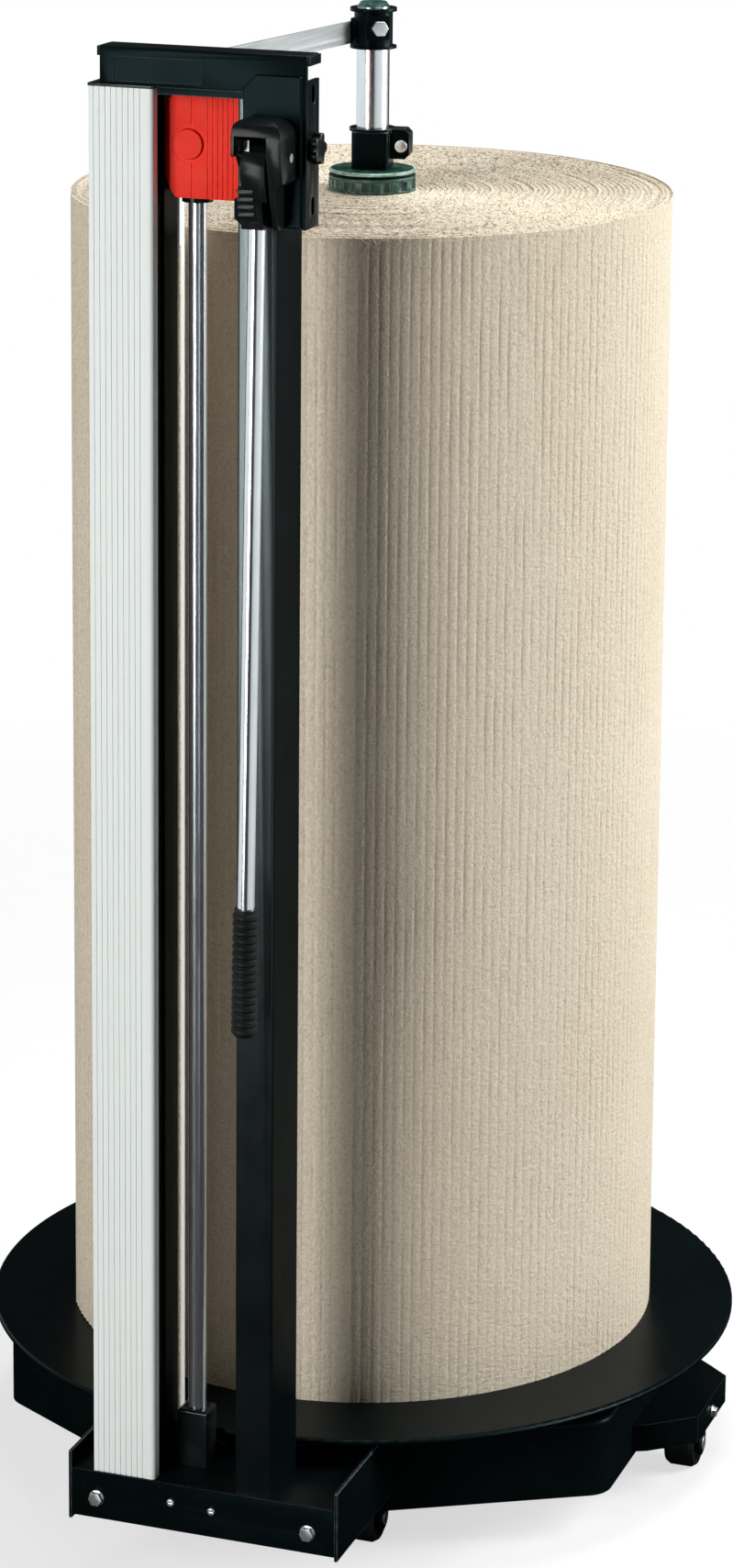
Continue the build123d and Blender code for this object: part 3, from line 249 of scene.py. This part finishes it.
def chrome():
    """Polished chrome with faint wipe marks."""
    s = Shader("tube_chrome")
    wipe = s.noise(1.0, 3.0, 0.55, s.scaled((90.0, 90.0, 25.0)))
    s.colour(s.ramp(wipe, (0.3, (0.80, 0.83, 0.86)), (0.7, (0.90, 0.92, 0.94))))
    socket(s.bsdf, "Metallic", 1.0)
    s.rough(s.level(wipe, 0.15, 0.24))
    s.normal(s.bump(s.noise(1.0, 2.0, 0.5, s.scaled((500.0, 500.0, 60.0))), 0.01, 0.0001))
    return s.mat


def drawn_steel():
    """Bright drawn tube, brushed along its length."""
    s = Shader("guide_drawn_steel")
    streak = s.noise(1.0, 4.0, 0.65, s.scaled((900.0, 900.0, 30.0)))
    s.colour(s.ramp(streak, (0.3, (0.62, 0.66, 0.72)), (0.7, (0.90, 0.92, 0.95))))
    socket(s.bsdf, "Metallic", 0.9)
    s.rough(s.level(streak, 0.14, 0.30))
    s.normal(s.bump(streak, 0.20, 0.0002))
    return s.mat


def zinc():
    """Mottled bright zinc on screws, bolts and pins."""
    s = Shader("bright_zinc")
    mottle = s.noise(220.0, 4.0)
    s.colour(s.ramp(mottle, (0.3, (0.62, 0.65, 0.65)), (0.7, (0.82, 0.84, 0.82))))
    socket(s.bsdf, "Metallic", 0.85)
    s.rough(s.level(mottle, 0.22, 0.42))
    s.normal(s.bump(mottle, 0.15, 0.0003))
    return s.mat


def red_plastic():
    """Vermilion moulding with a fine eroded grain."""
    s = Shader("red_moulded")
    cloud = s.noise(30.0, 3.0)
    s.colour(s.ramp(cloud, (0.3, (0.84, 0.022, 0.009)), (0.7, (0.90, 0.034, 0.015))))
    socket(s.bsdf, "Specular IOR Level", 0.10)
    s.rough(s.level(s.noise(1500.0, 2.0), 0.36, 0.50))
    s.normal(s.bump(s.noise(2200.0, 2.0), 0.2, 0.0002))
    return s.mat


def black_plastic():
    """Glossy black moulding."""
    s = Shader("black_moulded")
    cloud = s.noise(25.0, 3.0)
    s.colour(s.ramp(cloud, (0.3, (0.0040, 0.0060, 0.0065)), (0.7, (0.0075, 0.0100, 0.0105))))
    socket(s.bsdf, "Specular IOR Level", 0.14)
    s.rough(s.level(s.noise(300.0, 2.0), 0.16, 0.28))
    s.normal(s.bump(s.noise(1500.0, 2.0), 0.10, 0.0002))
    return s.mat


def green_plastic():
    """Dark green casting with paler patches. Its rounded edges take a paler edge material, partly
    rubbed and partly a painted highlight.
    """
    s = Shader("green_moulded")
    cloud = s.noise(130.0, 4.0, 0.65)
    s.colour(s.ramp(cloud, (0.36, (0.006, 0.034, 0.025)), (0.55, (0.018, 0.078, 0.056)),
                    (0.74, (0.16, 0.32, 0.25))))
    s.rough(s.level(s.noise(500.0, 2.0), 0.22, 0.40))
    s.normal(s.bump(s.noise(900.0, 3.0), 0.25, 0.0003))
    return s.mat


def rubber():
    """Matt black rubber of the grip, the pad and the tyres."""
    s = Shader("black_rubber")
    grain = s.noise(1400.0, 3.0)
    s.colour(s.ramp(s.noise(50.0, 3.0), (0.3, (0.004, 0.005, 0.005)), (0.7, (0.009, 0.010, 0.010))))
    socket(s.bsdf, "Specular IOR Level", 0.2)
    s.rough(s.level(grain, 0.42, 0.60))
    s.normal(s.bump(grain, 0.2, 0.0003))
    return s.mat


def blade_steel():
    """Ground steel, with its lines across the blade."""
    s = Shader("blade_ground")
    grind = s.noise(1.0, 3.0, 0.6, s.scaled((100.0, 3000.0, 300.0)))
    s.colour(s.ramp(grind, (0.3, (0.58, 0.60, 0.62)), (0.7, (0.75, 0.77, 0.78))))
    socket(s.bsdf, "Metallic", 1.0)
    s.rough(s.level(grind, 0.16, 0.3))
    return s.mat


def board(name, pale, deep, pit, pits_end):
    """Beige corrugated board with flecks of fibre. Pit is how strongly small dark pits show,
    and pits_end how much of the surface they take."""
    s = Shader(name)
    fibre = s.noise(1.0, 4.0, 0.7, s.scaled((520.0, 520.0, 420.0)))
    cloud = s.noise(4.0, 3.0)
    base = s.ramp(cloud, (0.3, deep), (0.7, pale))
    fleck = s.ramp(fibre, (0.36, (0.78, 0.75, 0.71)), (0.60, (1.0, 1.0, 1.0)))
    base = s.mix(0.75, base, fleck, "MULTIPLY")
    holes = s.ramp(s.noise(1.0, 3.0, 0.6, s.scaled((330.0, 330.0, 260.0))),
                   (0.34, (0.22, 0.18, 0.13)), (pits_end, (1.0, 1.0, 1.0)))
    s.colour(s.mix(pit, base, holes, "MULTIPLY"))
    s.rough(s.level(fibre, 0.75, 0.95))
    socket(s.bsdf, "Specular IOR Level", 0.2)
    grain = s.noise(1.0, 3.0, 0.6, s.scaled((260.0, 260.0, 200.0)))
    weave = s.noise(1.0, 2.0, 0.5, s.scaled((120.0, 120.0, 380.0)))
    relief = s.bump(weave, 0.6, 0.0016, s.bump(s.noise(70.0, 3.0), 0.24, 0.002))
    s.normal(s.bump(fibre, 0.8, 0.0012, s.bump(grain, 0.6, 0.0020, relief)))
    return s.mat


MATERIALS = {
    "black_paint": black_paint("black_powder_coat", 0.05, 0.09),
    "rail_silver": rail_aluminium(),
    "chrome_tube": chrome(),
    "bright_zinc": zinc(),
    "red_plastic": red_plastic(),
    "black_plastic": black_plastic(),
    "green_plastic": green_plastic(),
    "black_rubber": rubber(),
    "blade_steel": blade_steel(),
    "roll_board": board("roll_board_face", (0.86, 0.775, 0.625), (0.80, 0.71, 0.56), 0.15, 0.46),
}
# The rounded edges of the nodes in these slots, painted lighter: partly wear, partly a painted edge
# highlight
WORN_LIT_EDGES = {
    "black_paint": worn_lit_edge("black_paint_edge", (0.010, 0.020, 0.022), (0.060, 0.090, 0.092),
                             0.8, 0.25),
    "black_plastic": worn_lit_edge("black_plastic_edge", (0.006, 0.008, 0.008), (0.030, 0.036, 0.036),
                               0.9, 0.12),
    "green_plastic": worn_lit_edge("green_plastic_edge", (0.16, 0.34, 0.26), (0.62, 0.80, 0.70),
                               0.7, 0.25),
    "red_plastic": worn_lit_edge("red_plastic_edge", (0.86, 0.028, 0.012), (0.95, 0.080, 0.045),
                             0.3, 0.30),
}
# Nodes that look different from the rest of their slot
SPECIAL = {
    "arm_bar": arm_aluminium(),
    # Painted sheen: strong on the column's front and almost none on its sides, and weak on the
    # backing bar's faces
    "column": black_paint("column_powder_coat", 1.0, 0.02, (0.85, 1.0, 1.0)),
    "backing_bar": black_paint("bar_powder_coat", 0.10, 0.04),
    "guide_tube": drawn_steel(),
}
# The roll's wound edge; and the sheet's inner side, dark brown: painted shade that keeps light from
# bouncing off it into the gap beside the column
EDGE_MATERIAL = board("roll_board_edge", (0.90, 0.83, 0.70), (0.84, 0.76, 0.62), 0.8, 0.50)
SHADED_LINER = board("roll_board_liner", (0.38, 0.30, 0.21), (0.34, 0.27, 0.19), 0.15, 0.46)


# The part's own nodes get a material, smooth shading and a round on the hard edges. The angles
# between faces that count as hard and as flat, the gap that is closed, and the rounds in metres
HARD_ANGLE, FLAT_ANGLE = 40.0, 1.0
JOIN_GAP = 0.00001
EDGE_SEGMENTS = 3
EDGE_ROUND = {
    0.0016: "carriage_front carriage_rear lever_housing lever_hub",
    0.0013: "presser_hub presser_disc",
    0.0011: "head_bracket lock_knob tube_foot post_clamp",
    0.0009: "end_plates front_beam outrigger_left outrigger_right cover_plate post_collar",
    0.0006: "rail_cap head_plate arm_bar blade_button wheel_forks column clamp_bridge",
    0.0004: "hex_bolts collar_screw arm_screw clamp_screw beam_screws arm_pin wheel_axles",
}


def shade(obj, angle=35.0):
    """Smooth where faces meet gently, sharp where they don't."""
    bpy.ops.object.select_all(action="DESELECT")
    obj.select_set(True)
    bpy.context.view_layer.objects.active = obj
    bpy.ops.object.shade_smooth_by_angle(angle=math.radians(angle))


def soften(obj, width):
    """Join the faces of a node, clear the lines inside its flat faces, and round its hard edges."""
    join = obj.modifiers.new("join_faces", "WELD")
    join.merge_threshold = JOIN_GAP
    flat = obj.modifiers.new("flat_faces", "DECIMATE")
    flat.decimate_type = "DISSOLVE"
    flat.angle_limit = math.radians(FLAT_ANGLE)
    mod = obj.modifiers.new("edge_round", "BEVEL")
    mod.width = width
    mod.segments = EDGE_SEGMENTS
    mod.limit_method = "ANGLE"
    mod.angle_limit = math.radians(HARD_ANGLE)
    mod.use_clamp_overlap = True
    mod.harden_normals = True
    # The round takes the node's last material: for painted and moulded parts the lighter edge,
    # partly wear and partly painted highlight
    mod.material = len(obj.data.materials) - 1


def dress_nodes():
    """Give every node of the part its look."""
    slots = {s["node"]: s["material_slot"] for s in frame["record"]["subparts"]}
    for name, obj in NODES.items():
        material = SPECIAL.get(name) or MATERIALS[slots[name]]
        obj.data.materials.clear()
        obj.data.materials.append(material)
        if slots[name] in WORN_LIT_EDGES:
            obj.data.materials.append(WORN_LIT_EDGES[slots[name]])
        shade(obj)
    for width, names in EDGE_ROUND.items():
        for name in names.split():
            soften(NODES[name], width)


dress_nodes()


# Mesh helpers
def on_circle(r, a, z):
    """The point at a radius and an angle round the turntable's axis."""
    return (r * math.cos(a), AXIS_Y + r * math.sin(a), z)


def band(lower, upper, count):
    """The faces between two closed rings of points, given the index of each ring's first."""
    faces = []
    for i in range(count):
        n = (i + 1) % count
        faces.append((lower + i, lower + n, upper + n, upper + i))
    return faces


def new_object(name, verts, faces, material, body, replaces=()):
    mesh = bpy.data.meshes.new(name)
    mesh.from_pydata([tuple(v) for v in verts], [], faces)
    mesh.update()
    mesh.materials.append(material)
    for poly in mesh.polygons:
        poly.use_smooth = True
    obj = bpy.data.objects.new(name, mesh)
    bpy.context.scene.collection.objects.link(obj)
    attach(obj, body)
    if replaces:
        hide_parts(*replaces)
    return obj


def smooth_random(rng, count, every):
    """Random values from 0 to 1 that change gently, with a fresh one every so many steps."""
    knots = [rng.random() for _ in range(count // every + 3)]
    values = []
    for i in range(count):
        k, f = divmod(i / every, 1.0)
        k, f = int(k), f * f * (3 - 2 * f)
        values.append(knots[k] * (1 - f) + knots[k + 1] * f)
    return values


# The paper roll's face: the points across one flute and its outline, as shares of its depth,
# and the rows up the roll, with how many of them the depth takes to change
FLUTE_POINTS = 8
VALLEY = (1.0, 0.32, 0.08, 0.02, 0.0, 0.02, 0.08, 0.32)
ROLL_ROWS, ROW_REACH = 76, 3
# The shallowest flute, and how much deeper flutes get towards the top, as shares of the depth
LEAST_DEEP, DEEPER_UP = 0.15, 0.3
# How far the face lies inside the solid, and how uneven it is from flute to flute and all over
SKIN, BULGE, GRAIN = 0.0003, 0.0004, 0.00015
# How much the flutes flatten at the upper edge, and the share of the height where that starts
FRAY, FRAY_FROM = 0.7, 0.985


def roll_face():
    """The fluted outer wrap: round crests with narrow valleys that come and go along the height."""
    rng = random.Random(7)
    flutes = round(2 * math.pi * ROLL_R / FLUTE)
    around = flutes * FLUTE_POINTS
    depth = [smooth_random(rng, ROLL_ROWS + 1, ROW_REACH) for _ in range(flutes)]
    bulge = [rng.uniform(0.0, 0.35) for _ in range(flutes)]
    top = ROLL_Z1 - SKIN
    verts, faces = [], []
    for j in range(ROLL_ROWS + 1):
        share = j / ROLL_ROWS
        z = ROLL_Z0 + (top - ROLL_Z0) * share
        frayed = 1.0 - FRAY * max(0.0, share - FRAY_FROM) / (1.0 - FRAY_FROM)
        reach = FLUTE_TALL * frayed * (1.0 - DEEPER_UP + DEEPER_UP * share)
        for i in range(around):
            flute, point = divmod(i, FLUTE_POINTS)
            deep = reach * (LEAST_DEEP + (1.0 - LEAST_DEEP) * depth[flute][j])
            r = ROLL_R - SKIN - deep * VALLEY[point] - BULGE * bulge[flute] - GRAIN * rng.random()
            verts.append(on_circle(r, 2 * math.pi * i / around, z))
    for j in range(ROLL_ROWS):
        faces += band(j * around, (j + 1) * around, around)
    return new_object("paper_roll_face", verts, faces, MATERIALS["roll_board"], "turntable")


# Across one wrap: how far along it, and how far below the edge. The wave marks the fluted layer.
LAYERS = ((0.0, 0.0, False), (0.16, 0.0, False), (0.30, 0.0011, False), (0.62, 0.0003, True),
          (0.86, 0.0012, False))
# How much the wraps differ in height, how far some are sunk, and how rough and wavy they are
TOP_SEGMENTS, CORE_SEGMENTS = 560, 96
LIFT, SUNK, SUNK_COUNT, ROUGH, WAVE_TALL = 0.0007, 0.0007, 4, 0.0004, 0.0010
# The gap to the solid's top, the outermost wrap's even part, and the edge's way down the face
TOP_GAP = 0.0002
RIM_FLAT, RIM_DIP, RIM_UNEVEN = 0.2, 0.0001, 0.0002
RIM_LOW, RIM_ROUGH = 0.0024, 0.0008
CORE_LOW, CORE_HIGH = ROLL_Z0 + 0.001, ROLL_Z1 - 0.003


def roll_top():
    """The wound edge: liners as thin raised lines, with the waves of the fluted layers between."""
    rng = random.Random(11)
    seg = TOP_SEGMENTS
    wraps = int((ROLL_R - CORE_R) / WRAP)
    lift = [LIFT * rng.random() for _ in range(wraps + 2)]
    sunk = {wraps - 2 - round(i * wraps / SUNK_COUNT) for i in range(SUNK_COUNT)}
    rings = [(w + share, dip, wave) for w in range(wraps) for share, dip, wave in LAYERS]
    rings += [(wraps - RIM_FLAT / 2, RIM_DIP, False), (wraps, RIM_DIP, False)]
    verts, faces = [], []
    for t, dip, wave in rings:
        for i in range(seg):
            a = 2 * math.pi * i / seg
            place = min(t + i / seg, wraps)
            whole = min(int(place), wraps - 1)
            r = min(CORE_R + place * WRAP, ROLL_R - 2 * TOP_GAP)
            drop = dip + lift[whole] + ROUGH * rng.random()
            if wave:
                waves = round(2 * math.pi * r / FLUTE)
                drop += WAVE_TALL * (0.5 + 0.5 * math.cos(a * waves + whole))
            if whole in sunk:
                drop += SUNK
            if place >= wraps - RIM_FLAT:
                drop = RIM_DIP + RIM_UNEVEN * rng.random()
            verts.append(on_circle(r, a, ROLL_Z1 - TOP_GAP - drop))
    for k in range(len(rings) - 1):
        for i in range(seg - 1):
            faces.append((k * seg + i, k * seg + i + 1, (k + 1) * seg + i + 1, (k + 1) * seg + i))
    step = len(LAYERS)
    for k in range(len(rings) - 1 - step):
        last = k * seg + seg - 1
        faces.append((last, (k + step) * seg, (k + step + 1) * seg, last + seg))
    rim = len(verts)
    for i in range(seg):
        low = ROLL_Z1 - RIM_LOW - RIM_ROUGH * rng.random()
        verts.append(on_circle(ROLL_R - TOP_GAP, 2 * math.pi * i / seg, low))
    faces += band(rim, rim - seg, seg)
    base = len(verts)
    for z in (CORE_LOW, CORE_HIGH):
        for i in range(CORE_SEGMENTS):
            verts.append(on_circle(CORE_R, 2 * math.pi * i / CORE_SEGMENTS, z))
    faces += band(base + CORE_SEGMENTS, base, CORE_SEGMENTS)
    top = new_object("paper_roll_top", verts, faces, EDGE_MATERIAL, "turntable",
                     ("paper_roll",))
    shade(top, 50)
    return top


# The free sheet: its rows, how far it bends past the pad and lies off the roll, and the steps
# in which it follows the roll, in degrees
SHEET_ROWS = 24
BEND_PAST, ROLL_GAP = 0.001, 0.0003
FOLLOW_STEPS, FOLLOW_STEP = 5, 2
# How far its crests lie inside the solid, how deep its flutes are, and how round their crests
SHEET_SKIN, SHEET_FLUTE, CREST_ROUND = 0.0004, 0.0016, 0.55


def free_sheet():
    """The end of the sheet between the roll and the cut: fluted in front, a flat liner behind."""
    web_lo, web_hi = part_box("paper_web")
    bar_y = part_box("backing_bar")[1][1]
    pad_x, pad_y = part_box("clamp_pad")[0][:2]
    bend = (pad_x - BEND_PAST, pad_y)
    inner = ROLL_R + ROLL_GAP
    away = math.hypot(bend[0], bend[1] - AXIS_Y)
    turn = math.atan2(bend[1] - AXIS_Y, bend[0]) - math.acos(inner / away)
    line = [(web_hi[0], pad_y), bend]
    for step in range(FOLLOW_STEPS + 1):
        line.append(on_circle(inner, turn - math.radians(FOLLOW_STEP * step), 0.0)[:2])
    path = []
    for (x0, y0), (x1, y1) in zip(line, line[1:]):
        count = max(1, round(math.hypot(x1 - x0, y1 - y0) / (FLUTE / FLUTE_POINTS)))
        path += [(x0 + (x1 - x0) * i / count, y0 + (y1 - y0) * i / count) for i in range(count)]
    path.append(line[-1])
    thick = pad_y - bar_y
    run, points = 0.0, []
    for i, (x, y) in enumerate(path):
        before, after = path[max(i - 1, 0)], path[min(i + 1, len(path) - 1)]
        dx, dy = after[0] - before[0], after[1] - before[1]
        span = math.hypot(dx, dy)
        run += math.hypot(x - before[0], y - before[1])
        crest = abs(math.sin(math.pi * run / FLUTE)) ** CREST_ROUND
        lift = thick - SHEET_SKIN - SHEET_FLUTE * (1 - crest)
        points.append(((x, y), (x - dy / span * lift, y + dx / span * lift)))
    verts, faces = [], []
    for j in range(SHEET_ROWS + 1):
        z = web_lo[2] + (web_hi[2] - web_lo[2]) * j / SHEET_ROWS
        for inside, outside in points:
            verts += [(*inside, z), (*outside, z)]
    wide = 2 * len(points)
    for j in range(SHEET_ROWS):
        for i in range(len(points) - 1):
            a = j * wide + 2 * i
            faces.append((a, a + 2, a + wide + 2, a + wide))
            faces.append((a + 1, a + wide + 1, a + wide + 3, a + 3))
        for a in (j * wide, j * wide + wide - 2):
            faces.append((a, a + wide, a + wide + 1, a + 1))
    for base in (0, SHEET_ROWS * wide):
        for i in range(len(points) - 1):
            a = base + 2 * i
            faces.append((a, a + 1, a + 3, a + 2))
    sheet = new_object("free_sheet", verts, faces, MATERIALS["roll_board"], "stand",
                       ("paper_web",))
    # The inner side takes the dark liner, which is painted shade
    sheet.data.materials.append(SHADED_LINER)
    for poly in sheet.data.polygons:
        is_inner = all(v % 2 == 0 for v in poly.vertices)
        poly.material_index = int(is_inner)
    shade(sheet, 60)
    return sheet


# Loose fibres: how many, how many of them in the tuft near the front, the sides and steps of
# each, how far its end stands off the roll, and how much thinner it is there
FIBRES, TUFT = 64, 12
FIBRE_SIDES, FIBRE_STEPS = 4, 9
FIBRE_OUT, FIBRE_TAPER = 0.0011, 0.8


def loose_fibres():
    """Torn paper fibres that curl out of the roll's upper edge."""
    rng = random.Random(23)
    verts, faces = [], []
    for k in range(FIBRES):
        bearing = math.radians(rng.uniform(17, 25) if k < TUFT else rng.uniform(0, 360))
        long = rng.uniform(0.006, 0.018) if k < TUFT else rng.uniform(0.002, 0.008)
        a = bearing - math.pi / 2
        spot = Vector((math.cos(a), math.sin(a), 0.0)) * (ROLL_R + 0.0002)
        spot += Vector((0.0, AXIS_Y, ROLL_Z1 - rng.uniform(0.0005, 0.0015)))
        out = Vector((math.cos(a), math.sin(a), 0.0))
        along = Vector((-math.sin(a), math.cos(a), 0.0))
        lean, curl = rng.uniform(-1.0, 1.0), rng.uniform(-2.6, 2.6)
        thick = rng.uniform(0.00018, 0.00032)
        base = len(verts)
        for i in range(FIBRE_STEPS + 1):
            share = i / FIBRE_STEPS
            turn = lean + curl * share
            step = along * math.sin(turn) - Vector((0.0, 0.0, math.cos(turn)))
            if i:
                spot = spot + step * (long / FIBRE_STEPS) + out * (FIBRE_OUT / FIBRE_STEPS)
            r = thick * (1.0 - FIBRE_TAPER * share)
            side = out.cross(step).normalized()
            for corner in range(FIBRE_SIDES):
                c = 2 * math.pi / FIBRE_SIDES * corner
                verts.append(spot + side * (r * math.cos(c)) + out * (r * math.sin(c)))
        for i in range(FIBRE_STEPS):
            row = base + FIBRE_SIDES * i
            faces += band(row, row + FIBRE_SIDES, FIBRE_SIDES)
    return new_object("loose_fibres", verts, faces, EDGE_MATERIAL, "turntable")


roll_face()
roll_top()
free_sheet()
loose_fibres()


# Floor, light and background
WHITE = (1.0, 1.0, 1.0)
# What shiny parts reflect from left to right: place and brightness
SIDE_GLOW = ((0.0, 0.85), (0.16, 0.80), (0.24, 0.04), (0.72, 0.03), (0.80, 0.60), (1.0, 0.80))
# The floor's rings, where it fades to white and where it mirrors the side glow, in metres from
# the middle, and how bright it is by itself near the stand
FLOOR_SEGMENTS, FLOOR_RINGS = 64, (0.02, 2.0, 30.0)
FADE_START, FADE_END = 0.7, 2.4
MIRROR_START, MIRROR_END = 0.9, 2.2
NEAR_GLOW = 0.66


def side_glow(tree, across):
    """What shiny parts reflect: pale to the left and right, dark in front and behind."""
    spread = tree.nodes.new("ShaderNodeMapRange")
    socket(spread, "From Min", -1.0)
    tree.links.new(across, spread.inputs["Value"])
    sides = tree.nodes.new("ShaderNodeValToRGB")
    fill_ramp(sides, [(place, (v * 0.94, v, v * 1.02)) for place, v in SIDE_GLOW])
    tree.links.new(spread.outputs["Result"], sides.inputs["Fac"])
    return sides.outputs["Color"]


def floor_material():
    """Pale and matt. The camera sees it fade to white away from the stand, and shiny parts see
    the side glow in it there."""
    s = Shader("pale_floor")
    nodes = s.tree.nodes

    def emission(strength, colour=None):
        node = nodes.new("ShaderNodeEmission")
        socket(node, "Color", (*WHITE, 1.0))
        s.link(strength, node.inputs["Strength"])
        if colour:
            s.link(colour, node.inputs["Color"])
        return node.outputs[0]

    def joined(kind, *sources):
        node = nodes.new(kind)
        for source, place in zip(sources, node.inputs):
            s.link(source, place)
        return node.outputs[0]

    s.colour(s.ramp(s.noise(30.0, 3.0), (0.3, (0.37, 0.37, 0.37)), (0.7, (0.40, 0.40, 0.40))))
    socket(s.bsdf, "Roughness", 0.9)
    socket(s.bsdf, "Specular IOR Level", 0.0)
    matt = s.bsdf.outputs[0]
    length = nodes.new("ShaderNodeVectorMath")
    length.operation = "LENGTH"
    s.link(s.coords, length.inputs[0])
    unit = nodes.new("ShaderNodeVectorMath")
    unit.operation = "NORMALIZE"
    s.link(s.coords, unit.inputs[0])
    reach = length.outputs["Value"]
    split = nodes.new("ShaderNodeSeparateXYZ")
    s.link(unit.outputs[0], split.inputs[0])

    away = s.level(reach, 0.0, 1.0, FADE_START, FADE_END)
    glow = emission(s.level(away, NEAR_GLOW, 1.0))
    near = joined("ShaderNodeAddShader", matt, glow)
    shown = joined("ShaderNodeMixShader", away, near, glow)
    mirror = emission(s.level(reach, 0.0, 1.0, MIRROR_START, MIRROR_END),
                      side_glow(s.tree, split.outputs["X"]))
    rays = nodes.new("ShaderNodeLightPath")
    mirrored = joined("ShaderNodeMixShader", rays.outputs["Is Glossy Ray"], matt, mirror)
    seen = joined("ShaderNodeMixShader", rays.outputs["Is Camera Ray"], mirrored, shown)
    s.link(seen, nodes["Material Output"].inputs["Surface"])
    return s.mat


def stage_floor():
    """A pale floor round the stand that fades to white away from it, and still takes its shadow."""
    seg = FLOOR_SEGMENTS
    verts = [(r * math.cos(2 * math.pi * i / seg), r * math.sin(2 * math.pi * i / seg), 0.0)
             for r in FLOOR_RINGS for i in range(seg)]
    faces = [tuple(range(seg))]
    for k in range(len(FLOOR_RINGS) - 1):
        faces += band((k + 1) * seg, k * seg, seg)
    mesh = bpy.data.meshes.new("floor")
    mesh.from_pydata(verts, [], faces)
    mesh.materials.append(floor_material())
    obj = bpy.data.objects.new("floor", mesh)
    bpy.context.scene.collection.objects.link(obj)


LAMP_AIM = Vector((0.0, 0.0, 0.7))


def softbox(name, turn, lift, reach, size, power):
    """An area lamp that aims at the middle of the roll. Its bearing and height are in degrees,
    its distance and size in metres, and its power in watts."""
    data = bpy.data.lights.new(name, "AREA")
    data.shape = "RECTANGLE"
    data.size, data.size_y = size
    data.energy = power
    lamp = bpy.data.objects.new(name, data)
    bpy.context.scene.collection.objects.link(lamp)
    turn, lift = math.radians(turn), math.radians(lift)
    flat = math.cos(lift)
    arm = Vector((math.sin(turn) * flat, -math.cos(turn) * flat, math.sin(lift)))
    lamp.location = LAMP_AIM + arm * reach
    lamp.rotation_euler = (-arm).to_track_quat("-Z", "Y").to_euler()


WARM_LIGHT = (0.036, 0.031, 0.025)


def background():
    """White where the camera sees it, with a little warm light of its own."""
    world = bpy.data.worlds.new("studio")
    bpy.context.scene.world = world
    world.use_nodes = True
    tree = world.node_tree
    back = tree.nodes["Background"]
    path = tree.nodes.new("ShaderNodeLightPath")
    coords = tree.nodes.new("ShaderNodeTexCoord")
    split = tree.nodes.new("ShaderNodeSeparateXYZ")
    tree.links.new(coords.outputs["Generated"], split.inputs[0])
    sides = side_glow(tree, split.outputs["X"])
    light = mix_colours(tree, path.outputs["Is Glossy Ray"], WARM_LIGHT, sides)
    seen = mix_colours(tree, path.outputs["Is Camera Ray"], light, WHITE)
    tree.links.new(seen, back.inputs["Color"])
    socket(back, "Strength", 1.0)


stage_floor()
softbox("key_right", 109, 21, 3.2, (1.4, 2.2), 118)
softbox("front_left", -18, 10, 3.2, (1.0, 2.5), 68)
softbox("top", 160, 80, 2.8, (1.2, 1.2), 58)
background()
bpy.context.scene.view_settings.view_transform = "Standard"
